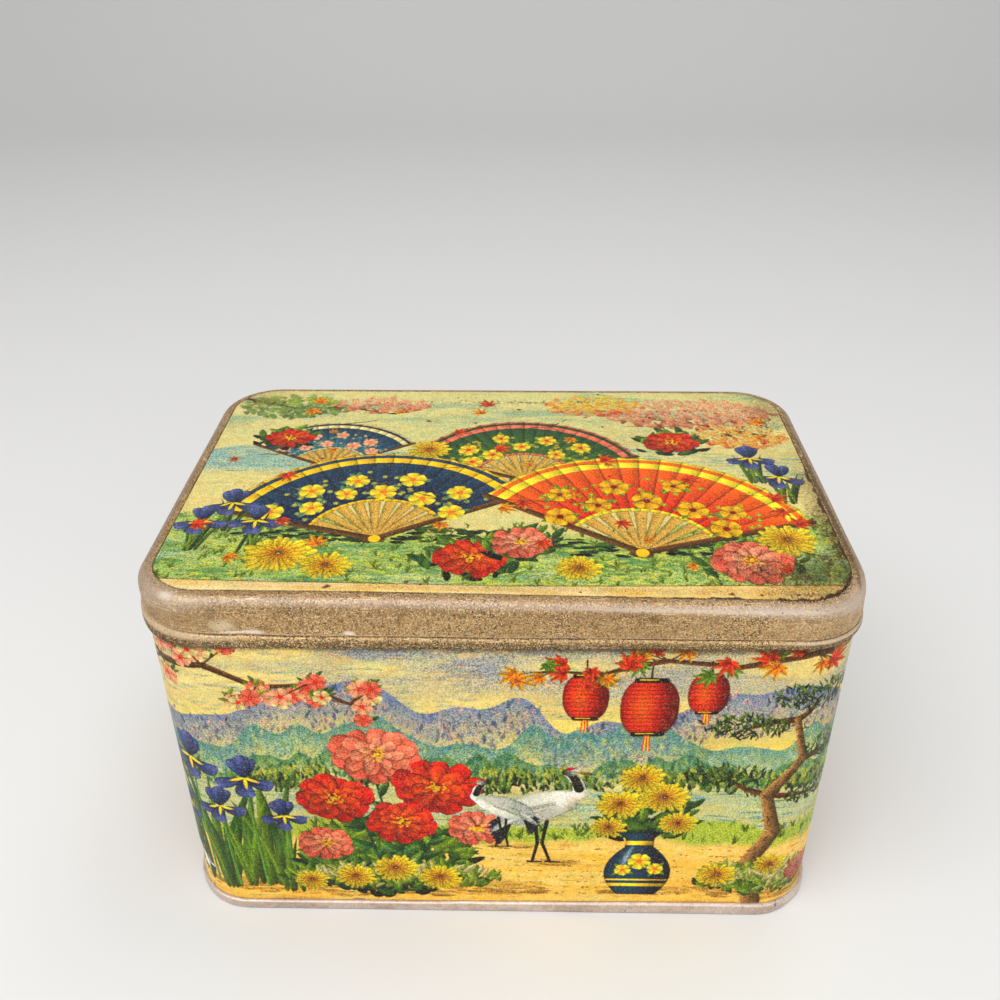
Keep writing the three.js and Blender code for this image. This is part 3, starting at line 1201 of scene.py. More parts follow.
CREAM: Ink = (0.89, 0.83, 0.53)
STRAW: Ink = (0.90, 0.77, 0.44)
MIST: Ink = (0.63, 0.69, 0.46)
OCHRE: Ink = (0.86, 0.66, 0.27)
SAND: Ink = (0.95, 0.79, 0.44)
AMBER: Ink = (0.95, 0.70, 0.20)
GOLD: Ink = (0.97, 0.76, 0.05)
LEMON: Ink = (0.98, 0.88, 0.16)
ORANGE: Ink = (0.93, 0.42, 0.08)
RED: Ink = (0.80, 0.13, 0.07)
CRIMSON: Ink = (0.46, 0.05, 0.06)
CORAL: Ink = (0.88, 0.42, 0.31)
BLUSH: Ink = (0.95, 0.68, 0.50)
LEAF: Ink = (0.31, 0.47, 0.16)
GRASS: Ink = (0.52, 0.64, 0.13)
PINE: Ink = (0.10, 0.25, 0.15)
TEAL: Ink = (0.17, 0.43, 0.46)
SKY: Ink = (0.42, 0.60, 0.64)
NAVY: Ink = (0.07, 0.13, 0.25)
VIOLET: Ink = (0.32, 0.36, 0.56)
UMBER: Ink = (0.32, 0.19, 0.09)
SOOT: Ink = (0.06, 0.07, 0.07)


def held(values: Array | float, low: float = 0, high: float = 1) -> Array:
    """Return values held in a range."""
    return np.clip(values, low, high)


def flat(ink: Ink) -> Array:
    """Return an ink as an array."""
    return np.asarray(ink, np.float32)


def ranged(inks: list[Ink], share: float) -> Ink:
    """Return an ink from a range of inks, at a share below 1 of the way through it."""
    whole = int(share * (len(inks) - 1))
    return mixed(inks[whole], inks[whole + 1], share * (len(inks) - 1) - whole)


def edged(room: Array, strength: float, reach: float) -> Array:
    """Return a tone that darkens a shape's edge, from how far each point lies inside."""
    return 1 - strength * np.exp(-np.maximum(room, 0) / reach)


def beside(x: float, y: float, turn: float, across: float, up: float | None = None) -> tuple[float, float]:
    """Return a place round another, at a turn in radians on a circle or an ellipse."""
    return x + across * math.cos(turn), y + (across if up is None else up) * math.sin(turn)


@dataclass(frozen=True)
class Blade:
    """One petal, leaf or grass blade, the stroke that most of the picture is made of.

    Attributes:
        length, width: from its base to its tip, and across its widest place.
        base, tip: inks at its ends.
        belly, point: how blunt its base is and how sharp its tip is. Small is blunt.
        bend: how far its middle bows to its left, in widths.
        rib: how dark its midrib is.
        fold: how much lighter its left half is than its right half.
        rim: how dark its outline is.
        veins: side veins on each half.
    """

    length: float
    width: float
    base: Ink
    tip: Ink
    belly: float = 0.6
    point: float = 0.9
    bend: float = 0.0
    rib: float = 0.25
    fold: float = 0.12
    rim: float = 0.35
    veins: int = 0


class Sheet:
    """A printed sheet, held as an array of ink with its first row at the bottom.

    Args:
        width, height: of the sheet.
        columns, rows: points across and up.
        seed: for everything random on this sheet.
    """

    def __init__(self, width: float, height: float, columns: int, rows: int, seed: int) -> None:
        self.width, self.height = width, height
        self.x = np.linspace(0.0, width, columns, dtype=np.float32)
        self.y = np.linspace(0.0, height, rows, dtype=np.float32)
        self.ink = np.ones((rows, columns, 3), np.float32)
        self.bare = np.zeros((rows, columns), np.float32)
        self.pitch = width / (columns - 1)
        self.random = np.random.default_rng(seed)

    def cloud(self, across: float, up: float, octaves: int = 4) -> Array:
        """Return smooth noise from 0 to 1 over the sheet.

        Args:
            across, up: width and height of its largest lumps.
            octaves: layers, each half the size of the last.

        Returns:
            A value for each point.
        """
        total = np.zeros(self.ink.shape[:2], np.float32)
        for octave in range(octaves):
            scale = 2.0 ** octave
            total += self._lumps(across / scale, up / scale) / scale
        return total / (2.0 - 2.0 ** (1 - octaves))

    def _lumps(self, across: float, up: float) -> Array:
        """Return one layer of smooth noise with lumps of the given size."""
        u, v = self.x / across, self.y / up
        grid = self.random.random((int(v[-1]) + 2, int(u[-1]) + 2), dtype=np.float32)
        i, j = u.astype(int), v.astype(int)
        a, b = u - i, v - j
        a, b = a * a * (3 - 2 * a), (b * b * (3 - 2 * b))[:, None]
        low = grid[j][:, i] * (1 - a) + grid[j][:, i + 1] * a
        high = grid[j + 1][:, i] * (1 - a) + grid[j + 1][:, i + 1] * a
        return low * (1 - b) + high * b

    def wash(self, ink: Ink, cover: Array | float) -> None:
        """Lay one ink over the whole sheet, as thick at each point as its cover says."""
        cover = np.asarray(cover, np.float32)[..., None] * np.ones((*self.ink.shape[:2], 1), np.float32)
        self.ink += (flat(ink) - self.ink) * held(cover)

    def near(self, ax: float, ay: float, bx: float, by: float, reach: float) -> tuple[slice, slice, Array,
            Array]:
        """Find the points near a line.

        Args:
            ax, ay: its start.
            bx, by: its end.
            reach: how near they are.

        Returns:
            Their rows and columns, and how far right of the start and above it they are.
        """
        columns = slice(*np.searchsorted(self.x, (min(ax, bx) - reach, max(ax, bx) + reach)))
        rows = slice(*np.searchsorted(self.y, (min(ay, by) - reach, max(ay, by) + reach)))
        return rows, columns, self.x[columns][None, :] - ax, self.y[rows][:, None] - ay

    def lay(self, rows: slice, columns: slice, ink: Array, cover: Array) -> None:
        """Blend ink into a window of the sheet."""
        part = self.ink[rows, columns]
        part += (held(ink) - part) * cover[..., None]

    def blade(self, x: float, y: float, angle: float, form: Blade, opacity: float = 1.0) -> None:
        """Paint one blade.

        Args:
            x, y: of its base.
            angle: that it points in, from the sheet's right.
            form: its size and inks.
            opacity: of the ink.
        """
        cos, sin = math.cos(math.radians(angle)), math.sin(math.radians(angle))
        reach = form.width * (0.5 + abs(form.bend)) + 2 * self.pitch
        rows, columns, dx, dy = self.near(x, y, x + form.length * cos, y + form.length * sin, reach)
        along = (dx * cos + dy * sin) / form.length
        side = (dy * cos - dx * sin) / (0.5 * form.width) - 8 * form.bend * along * (1 - along)
        inner = held(along, 1e-4, 1 - 1e-4)
        widest = form.belly / (form.belly + form.point)
        peak = widest ** form.belly * (1 - widest) ** form.point
        profile = inner ** form.belly * (1 - inner) ** form.point / peak
        room = (profile - np.abs(side)) * 0.5 * form.width
        cover = held(room / self.pitch + 0.5) * ((along > 0) & (along < 1))
        tone = 1 + form.fold * held(side * 3, -1, 1)
        tone -= form.rib * np.exp(-(side * form.width / 0.5) ** 2)
        tone -= form.rim * np.exp(-np.maximum(room, 0) / min(0.36, 0.07 + 0.08 * form.width))
        if form.veins:
            tone += 0.10 * np.cos(2 * math.pi * (along * form.veins - np.abs(side) * 0.9))
        base, tip = flat(form.base), flat(form.tip)
        self.lay(rows, columns, (base + (tip - base) * inner[..., None]) * tone[..., None], cover * opacity)

    def stroke(self, points: Points, start: float, end: float, ink: Ink, shade: float = 0.3,
               opacity: float = 1.0) -> None:
        """Paint a tapering line through points, lit from its left.

        Args:
            points: of the line.
            start, end: its width at the first point and at the last.
            ink: of the line.
            shade: how much darker its right side is.
            opacity: of the ink.
        """
        steps = len(points) - 1
        for i, ((ax, ay), (bx, by)) in enumerate(zip(points, points[1:])):
            wa, wb = (start + (end - start) * (i + k) / steps for k in (0, 1))
            rows, columns, dx, dy = self.near(ax, ay, bx, by, max(wa, wb) + self.pitch * 2)
            ex, ey = bx - ax, by - ay
            length = math.hypot(ex, ey) + 1e-6
            share = held((dx * ex + dy * ey) / length ** 2)
            width = wa + (wb - wa) * share
            away = np.hypot(dx - share * ex, dy - share * ey)
            side = (dx * ey - dy * ex) / length / (0.5 * width)
            cover = held((0.5 * width - away) / self.pitch + 0.5)
            tone = 1 - shade * held(side, -1, 1)
            self.lay(rows, columns, flat(ink) * tone[..., None], cover * opacity)

    def spot(self, x: float, y: float, size: float, ink: Ink, opacity: float = 1.0) -> None:
        """Paint a round dab."""
        rows, columns, dx, dy = self.near(x, y, x, y, size)
        away = np.hypot(dx, dy)
        cover = held((0.5 * size - away) / self.pitch + 0.5) * opacity
        self.lay(rows, columns, flat(ink) * np.ones((*away.shape, 1)), cover)

    def shape(self, x0: float, y0: float, x1: float, y1: float,
              room_and_ink: Callable[[Array, Array], tuple[Array, Array]]) -> None:
        """Paint a shape given by a function of the points in a window.

        Args:
            x0, y0: left and bottom of the window.
            x1, y1: right and top of the window.
            room_and_ink: takes x and y of the points, and returns how far each lies inside the shape, and
                its ink.
        """
        rows, columns, _, _ = self.near(x0, y0, x1, y1, 0)
        room, ink = room_and_ink(*np.meshgrid(self.x[columns], self.y[rows]))
        self.lay(rows, columns, ink, held(room / self.pitch + 0.5))


class Garden(Sheet):
    """A sheet with the flowers, leaves, trees and fans of the picture to paint on it."""

    def off(self, spread: float) -> float:
        """Return a small random number, up to the spread either way."""
        return float(self.random.uniform(-spread, spread))

    def pick(self, choices: list) -> object:
        """Return one of the choices."""
        return choices[int(self.random.integers(len(choices)))]

    def dabs(self, count: int, low: Array | float, high: Array | float, length: float, slim: float,
             inks: list[Ink], lean: float = 90, spread: float = 20, opacity: float = 0.8) -> None:
        """Scatter short brush marks over a band of the sheet.

        Args:
            count: of marks.
            low, high: foot and top of the band, for the whole sheet or for each column.
            length: of a mark.
            slim: width of a mark over its length.
            inks: range of inks.
            lean, spread: where marks point, and how far either way.
            opacity: of the ink.
        """
        low, high = (np.broadcast_to(np.asarray(v, np.float32), self.x.shape) for v in (low, high))
        for _ in range(count):
            i = int(self.random.integers(len(self.x)))
            ink = ranged(inks, self.random.random() * 0.999)
            reach = length * (1 + self.off(0.5))
            y = float(low[i] + (high[i] - low[i]) * self.random.random())
            self.blade(float(self.x[i]), y, lean + self.off(spread),
                       Blade(reach, max(reach * slim, 0.45), ink, ink, rib=0, fold=0.06, rim=0.1), opacity)

    def bloom(self, x: float, y: float, radius: float, petals: int, rings: int, inks: list[Ink],
              slim: float, tilt: float, heart: Ink | None = None) -> None:
        """Paint a flower of petals in rings, outer ones first.

        Args:
            x, y: of its middle.
            radius: of the flower.
            petals, rings: petals in its outer ring, and rings.
            inks: at the foot and the tip of outer petals, then at the foot and the tip of inner ones.
            slim: width of a petal over its length.
            tilt: height of the flower over its width.
            heart: ink of the stamens, or None.
        """
        start = self.off(3)
        for ring in range(rings):
            share = ring / max(rings - 1, 1)
            reach = radius * (1 - 0.68 * share)
            count = max(5, round(petals * (1 - 0.4 * share)))
            for k in self.random.permutation(count):
                turn = 2 * math.pi * (k + 0.5 * (ring % 2)) / count + self.off(0.14) + start
                dx, dy = math.cos(turn), math.sin(turn) * tilt
                length = reach * math.hypot(dx, dy) * (0.92 + self.off(0.1))
                light = 0.85 + 0.25 * (math.sin(turn + 0.6) * 0.5 + 0.5)
                width = slim * reach * (0.75 + 0.25 * abs(dx)) * (1 + self.off(0.12))
                self.blade(
                    x + dx * radius * 0.06, y + dy * radius * 0.06 + 0.06 * radius * share,
                    math.degrees(math.atan2(dy, dx)),
                    Blade(length, width, mixed(inks[0], inks[2], share),
                          toned(mixed(inks[1], inks[3], share), light),
                          0.75, 0.3, self.off(0.1), 0.14, 0.10, 0.62))
        if heart:
            for _ in range(int(10 + radius * 2)):
                turn, out = self.off(math.pi), abs(self.off(0.24)) * radius
                self.spot(x + out * math.cos(turn), y + out * math.sin(turn) * tilt,
                          0.5 + abs(self.off(0.35)), mixed(heart, UMBER, abs(self.off(0.4))))

    def peony(self, x: float, y: float, radius: float, inks: list[Ink]) -> None:
        """Paint a full flower with broad petals and a gold heart."""
        self.bloom(x, y, radius, 10, 4, inks, 0.62, 0.82, GOLD)

    def daisy(self, x: float, y: float, radius: float, inks: list[Ink]) -> None:
        """Paint a many-petalled flower with slim petals."""
        self.bloom(x, y, radius, 22, 5, inks, 0.26, 0.85)

    def blossom(self, x: float, y: float, radius: float, ink: Ink, heart: Ink) -> None:
        """Paint a small flower of five round petals."""
        turn = self.off(180)
        for k in range(5):
            self.blade(x, y, turn + 72 * k, Blade(
                radius, radius * 0.95, mixed(ink, heart, 0.35), ink, 0.7, 0.22, 0, 0.1, 0.1, 0.35))
        self.spot(x, y, radius * 0.5, heart)

    def iris(self, x: float, y: float, size: float, inks: list[Ink]) -> None:
        """Paint an iris with three falls and three standards."""
        for angle, length, width in ((70, 0.9, 0.42), (112, 0.92, 0.42), (91, 1.0, 0.5)):
            self.blade(x, y, angle + self.off(7), Blade(
                size * length, size * width, *inks, 0.8, 0.4, self.off(0.12), 0.2, 0.14, 0.4, 5))
        for angle, length, width, bend in ((198, 0.95, 0.5, 0.14), (-20, 0.95, 0.5, -0.14),
                (-92, 0.85, 0.62, -0.14)):
            turn = angle + self.off(8)
            self.blade(x, y, turn, Blade(size * length, size * width, *inks, 0.85, 0.3, bend, 0.15, 0.1,
                0.42, 6))
            self.blade(x, y, turn, Blade(size * 0.5, size * 0.12, LEMON, GOLD, 0.6, 0.8, 0, 0, 0, 0.1))

    def maple(self, x: float, y: float, size: float, angle: float, inks: list[Ink]) -> None:
        """Paint a leaf of seven pointed lobes."""
        for turn, length in ((-118, 0.42), (118, 0.42), (-78, 0.66), (78, 0.66), (-38, 0.88), (38, 0.88),
                (0, 1.0)):
            self.blade(x, y, angle + turn + self.off(5), Blade(
                size * length, size * 0.27, *inks, 0.55, 1.0, 0, 0.3, 0.14, 0.3))

    def spray(self, points: Points, leaf: Blade, count: int, stem: float, ink: Ink) -> None:
        """Paint a stem with leaves in pairs along it.

        Args:
            points: of the stem, from its foot.
            leaf: the largest of its leaves.
            count: of leaves.
            stem: width at the foot.
            ink: of the stem.
        """
        self.stroke(points, stem, stem * 0.35, ink)
        steps = len(points) - 1
        for k in range(count):
            share = (k + 0.6) / count * steps * 0.999
            i = int(share)
            (ax, ay), (bx, by) = points[i], points[i + 1]
            side = 55 * (1 if k % 2 else -1) * (1 - 0.6 * share / steps)
            grow = 1 - 0.35 * share / steps + self.off(0.15)
            tone = 1 + self.off(0.18)
            self.blade(
                ax + (bx - ax) * (share - i), ay + (by - ay) * (share - i),
                math.degrees(math.atan2(by - ay, bx - ax)) + side + self.off(12),
                replace(leaf, length=leaf.length * grow, width=leaf.width * grow,
                        base=toned(leaf.base, tone),
                        tip=toned(leaf.tip, tone), bend=leaf.bend + self.off(0.15)))

    def thicket(self, x: float, y: float, across: float, up: float, count: int, inks: list[Ink],
                size: float,
                slim: float = 0.42, lean: float = 90, spread: float = 80, crisp: float = 1.0) -> None:
        """Paint a mass of leaves, darkest and lowest first.

        Args:
            x, y: of its middle.
            across, up: half its width and half its height.
            count: of leaves.
            inks: from the deepest leaves to the nearest.
            size, slim: length of a leaf, and its width over its length.
            lean, spread: where leaves point, and how far either way.
            crisp: how dark their feet, ribs and outlines are.
        """
        for k in range(count):
            share = k / count
            turn, out = self.off(math.pi), math.sqrt(self.random.random()) * (1 - 0.1 * share)
            px, py = beside(x, y, turn, across * out, up * out)
            ink = ranged(inks, min(max(share + 0.35 * math.sin(turn) * out + self.off(0.15), 0), 0.999))
            length = size * (1 + self.off(0.35))
            self.blade(px, py, lean + self.off(spread), Blade(
                length, length * slim, toned(ink, 1 - 0.28 * crisp), ink, 0.6, 0.8, self.off(0.2),
                0.2 * crisp, 0.14 * crisp, 0.3 * crisp), 0.45 + 0.55 * crisp)

    def tuft(self, x: float, y: float, height: float, count: int, inks: list[Ink], slim: float,
             spread: float) -> None:
        """Paint long blades that rise from one place, darkest first."""
        for k in range(count):
            lean = self.off(spread)
            length = height * (0.62 + 0.38 * self.random.random()) * (1 - abs(lean) / 160)
            ink = mixed(*inks, k / max(count - 1, 1))
            self.blade(x + self.off(height * 0.1), y + self.off(0.6), 90 + lean, Blade(
                length, max(length * slim, 0.5), toned(ink, 0.7), ink, 0.35, 0.8,
                math.copysign(min(abs(lean) * 0.05, 1.0) / (slim * 20), -lean), 0.18, 0.16, 0.25))

    def fan(self, x: float, y: float, radius: float, first: float, last: float, inks: list[Ink],
            border: Ink, flower: Ink, heart: Ink, leaf: Ink) -> None:
        """Paint an open folding fan with flowers on its paper.

        Args:
            x, y: of its pivot.
            radius: of the fan.
            first, last: angles of its right guard and its left guard.
            inks: of its paper, from the inner edge to the outer one.
            border: ink of the band by its edge.
            flower, heart, leaf: inks of its flowers, of their middles and of the leaves by them.
        """
        span, folds = last - first, round((last - first) / 7.5)

        def polar(px: Array, py: Array) -> tuple[Array, Array]:
            """Return how far from the pivot points are, and their angles from the right guard."""
            turn = (np.degrees(np.arctan2(py - y, px - x)) - first) % 360
            return np.hypot(px - x, py - y), np.where(turn > 340, turn - 360, turn)

        def paper(px: Array, py: Array) -> tuple[Array, Array]:
            """Return the room and ink of the folded paper."""
            out, turn = polar(px, py)
            share = (out / radius - 0.4) / 0.6
            edge = np.minimum(turn, span - turn) * math.pi / 180 * out
            scallop = 0.006 * radius * np.cos(turn / span * folds * 2 * math.pi)
            room = np.minimum(np.minimum(out - 0.4 * radius, radius + scallop - out), edge)
            fold = (turn / span * folds) % 1
            tone = 0.80 + 0.36 * fold - 0.3 * np.exp(-(np.minimum(fold, 1 - fold) / 0.06) ** 2)
            tone *= edged(room, 0.5, 0.35)
            a, b = (flat(c) for c in inks)
            ink = a + (b - a) * held(share)[..., None]
            band = ((share > 0.80) & (share < 0.90)) | (share > 0.965) | (share < 0.05)
            return room, np.where(band[..., None], flat(border), ink) * tone[..., None]

        def sticks(px: Array, py: Array) -> tuple[Array, Array]:
            """Return the room and ink of the sticks."""
            out, turn = polar(px, py)
            fold = (turn / span * folds * 0.5) % 1
            wide = 0.5 * span / folds * 2 * math.pi / 180 * out
            room = np.minimum(wide * (0.55 - np.abs(fold - 0.5) * 2) + 0.5, 0.42 * radius - out)
            room = np.where((turn < -1) | (turn > span + 1), -1, room)
            return room, flat(OCHRE) * (edged(room, 0.55, 0.25) * (1.05 - 0.25 * fold))[..., None]

        box = (x - radius * 1.02, y - radius * 1.02, x + radius * 1.02, y + radius * 1.02)
        self.shape(*box, sticks)
        self.shape(*box, paper)
        for turn in (math.radians(first), math.radians(last)):
            self.stroke([beside(x, y, turn, -2), beside(x, y, turn, radius)], radius * 0.05, radius * 0.045,
                        UMBER, 0.35)
        self.spot(x, y, radius * 0.07, GOLD)
        for _ in range(round(span / 2.4)):
            turn = math.radians(first + span * self.random.random())
            px, py = beside(x, y, turn, radius * (0.46 + 0.31 * self.random.random()))
            self.blossom(px, py, radius * 0.018, mixed(flower, leaf, 0.5), border)
        count = max(4, round(span / 14))
        for k in range(count):
            turn = math.radians(first + span * (k + 0.5 + self.off(0.25)) / count)
            px, py = beside(x, y, turn, radius * (0.6 + 0.09 * (1 if k % 2 else -1) + self.off(0.03)))
            for _ in range(3):
                self.blade(px, py, self.off(180), Blade(
                    radius * 0.12, radius * 0.045, leaf, mixed(leaf, LEMON, 0.3), rim=0.2))
            self.blossom(px, py, radius * (0.065 + abs(self.off(0.02))), flower, heart)

    def lantern(self, x: float, top: float, across: float, height: float, inks: list[Ink]) -> None:
        """Paint a paper lantern hung by a cord.

        Args:
            x, top: of its middle, and where its cord is tied.
            across, height: of its paper.
            inks: dark side, light side and lit middle.
        """
        self.stroke([(x, top), (x + self.off(0.3), top - height * 0.35)], 0.5, 0.5, SOOT)
        middle = top - height * 0.35 - height * 0.5

        def paper(px: Array, py: Array) -> tuple[Array, Array]:
            """Return the room and ink of the ribbed paper."""
            u, v = (px - x) / (0.5 * across), (py - middle) / (0.5 * height)
            bulge = np.sqrt(held(1 - (np.abs(v) * 0.86) ** 2.4))
            room = np.minimum((bulge - np.abs(u)) * 0.5 * across, (1 - np.abs(v)) * 0.5 * height)
            around = held(u / np.maximum(bulge, 0.1), -1, 1)
            dark, light, lit = (flat(c) for c in inks)
            ink = dark + (light - dark) * held(1.1 - (around + 0.3) ** 2 * 1.1)[..., None]
            ink = ink + (lit - ink) * (0.55 * np.exp(-((around + 0.25) / 0.42) ** 2 - (v / 0.75) ** 2))[...,
                None]
            rib = np.abs((v * 0.5 + 0.5) * height / 1.5 % 1 - 0.5) * 2
            tone = 1 - 0.3 * np.exp(-((1 - rib) / 0.3) ** 2)
            return room, ink * (tone * edged(room, 0.45, 0.4))[..., None]

        self.shape(x - across, middle - height, x + across, middle + height, paper)
        for end in (-1, 1):
            y = middle + end * height * 0.5
            self.stroke([(x - across * 0.24, y), (x + across * 0.24, y)], height * 0.09, height * 0.09,
                SOOT, 0.2)
            self.stroke([(x - across * 0.2, y + 0.2), (x + across * 0.1, y + 0.2)], 0.4, 0.3, GOLD, 0)
        for k in range(5):
            self.stroke([(x + (k - 2) * 0.35, middle - height * 0.54),
                         (x + (k - 2) * 0.5 + self.off(0.2), middle - height * 0.82)], 0.4, 0.3,
                        GOLD if k % 2 else RED, 0.1)

    def pine(self, points: Points, width: float, pads: list[tuple[float, float, float, float]]) -> None:
        """Paint a bent pine with its needles in flat pads.

        Args:
            points: of the trunk, from its foot.
            width: of the trunk at its foot.
            pads: middle, half width and half height of each pad.
        """
        for px, py, _, _ in pads:
            near = min(points, key=lambda p: math.hypot(p[0] - px, p[1] - py))
            self.stroke([near, ((near[0] + px) / 2, near[1] + (py - near[1]) * 0.3), (px, py)],
                        width * 0.4, width * 0.15, UMBER)
        self.stroke(points, width, width * 0.3, mixed(UMBER, SAND, 0.25), 0.45)
        for k in range(len(points) * 12):
            i = k % (len(points) - 1)
            (ax, ay), (bx, by) = points[i], points[i + 1]
            share = self.random.random()
            self.blade(ax + (bx - ax) * share + self.off(width * 0.3), ay + (by - ay) * share,
                       self.off(180),
                       Blade(1.6, 0.5, SOOT, UMBER, rim=0.1), 0.6)
        for px, py, across, up in pads:
            self.thicket(px, py, across, up, int(across * up * 2.6),
                         [SOOT, PINE, mixed(PINE, LEAF, 0.6), GRASS], 2.6, 0.2, 90, 62)

    def crane(self, x: float, y: float, size: float, face: int) -> None:
        """Paint a standing crane.

        Args:
            x, y: of its feet.
            size: its height.
            face: 1 to look right, or -1.
        """
        white, grey = (0.93, 0.91, 0.82), (0.66, 0.68, 0.64)

        def limb(places: Points, start: float, end: float, ink: Ink, shade: float = 0.3) -> None:
            """Paint a stroke given in shares of the size."""
            self.stroke([(x + face * u * size, y + v * size) for u, v in places], start * size, end * size,
                ink, shade)

        def feather(u: float, v: float, angle: float, length: float, width: float, base: Ink,
                tip: Ink) -> None:
            """Paint one feather."""
            self.blade(x + face * u * size, y + v * size, angle if face > 0 else 180 - angle, Blade(
                length * size, width * size, base, tip, 0.55, 0.6, 0.0, 0.2, 0.1, 0.4))

        for lean in (-0.03, 0.05):
            limb([(lean * 1.6, 0), (lean * 0.4, 0.2), (lean, 0.42)], 0.022, 0.03, SOOT)
            limb([(lean * 1.6 - 0.03, 0.005), (lean * 1.6 + 0.07, 0)], 0.02, 0.012, SOOT)
        for k in range(7):
            feather(-0.12 - 0.015 * k, 0.50 - 0.012 * k, 205 + 8 * k, 0.26, 0.06, SOOT, NAVY)
        feather(-0.30, 0.44, 22, 0.62, 0.28, grey, white)
        for k in range(8):
            feather(0.10 - 0.035 * k, 0.58 - 0.012 * k, 196 + 4 * k, 0.27, 0.055, white, grey)
        limb([(0.17, 0.60), (0.27, 0.70), (0.25, 0.80), (0.19, 0.88)], 0.12, 0.055, white, 0.25)
        limb([(0.26, 0.74), (0.235, 0.82), (0.19, 0.89)], 0.07, 0.05, SOOT, 0.2)
        feather(0.14, 0.895, 2, 0.12, 0.075, SOOT, white)
        feather(0.23, 0.895, -6, 0.14, 0.022, OCHRE, UMBER)
        feather(0.165, 0.925, 5, 0.06, 0.03, RED, RED)

    def swallow(self, x: float, y: float, size: float, face: int) -> None:
        """Paint a small bird on the wing."""
        for angle, length, width in ((150, 1.2, 0.34), (40, 1.0, 0.3), (188, 0.8, 0.2), (172, 0.8, 0.2),
                (-8, 0.55, 0.3)):
            self.blade(x, y, angle if face > 0 else 180 - angle, Blade(
                size * length, size * width, NAVY, SOOT, 0.5, 0.9, 0.2 * face))

    def vase(self, x: float, y: float, across: float, height: float) -> None:
        """Paint a dark glazed vase with gold bands and a flower.

        Args:
            x, y: of its foot.
            across, height: of the vase.
        """
        def glaze(px: Array, py: Array) -> tuple[Array, Array]:
            """Return the room and ink of the glazed side."""
            v = held((py - y) / height)
            swell = 0.30 + 0.70 * np.abs(np.sin(math.pi * held(v * 1.12 + 0.10))) ** 0.8
            half = 0.5 * across * np.maximum(swell, 0.42 + 0.34 * held((v - 0.88) / 0.12) ** 2)
            u = (px - x) / np.maximum(half, 0.1)
            room = np.minimum(half - np.abs(px - x), np.minimum(py - y, y + height - py))
            light = held(1.0 - (u + 0.35) ** 2 * 1.1)[..., None]
            ink = flat(SOOT) + (flat(TEAL) * 0.9 - flat(SOOT)) * light
            ink = ink + (flat(NAVY) - ink) * 0.55
            band = (np.abs(v - 0.16) < 0.025) | (np.abs(v - 0.83) < 0.03) | (np.abs(v - 0.24) < 0.01)
            ink = np.where(band[..., None], flat(GOLD) * (0.65 + 0.5 * light), ink)
            shine = np.exp(-((u + 0.45) / 0.09) ** 2 - ((v - 0.62) / 0.16) ** 2)[..., None]
            return room, (ink + (1.0 - ink) * 0.6 * shine) * edged(room, 0.5, 0.4)[..., None]

        self.shape(x - across, y - 1, x + across, y + height + 1, glaze)
        for dx, dy, size in ((0.02, 0.54, 0.17), (0.26, 0.42, 0.12), (-0.22, 0.40, 0.12)):
            px, py = x + dx * across, y + dy * height
            for k in range(4):
                self.blade(px, py, 45 + 90 * k + self.off(20), Blade(
                    across * 0.2, across * 0.07, LEAF, GRASS, rim=0.2))
            self.blossom(px, py, across * size, LEMON, ORANGE)


# The pictures


SUNNY = [PINE, LEAF, mixed(LEAF, GRASS, 0.5), GRASS, mixed(GRASS, CREAM, 0.5), CREAM]
SHADE = [SOOT, PINE, mixed(PINE, LEAF, 0.6), LEAF, GRASS]
FRESH = [PINE, LEAF, GRASS, mixed(GRASS, LEMON, 0.4)]
ROSY = [CRIMSON, CORAL, CORAL, mixed(CORAL, BLUSH, 0.5), BLUSH]
RED_BLOOM = [CRIMSON, RED, RED, ORANGE]
PINK_BLOOM = [RED, CORAL, CORAL, BLUSH]
GOLD_BLOOM = [AMBER, LEMON, ORANGE, GOLD]
BLUE_IRIS = [NAVY, VIOLET]
AUTUMN = [[RED, ORANGE], [ORANGE, GOLD]]


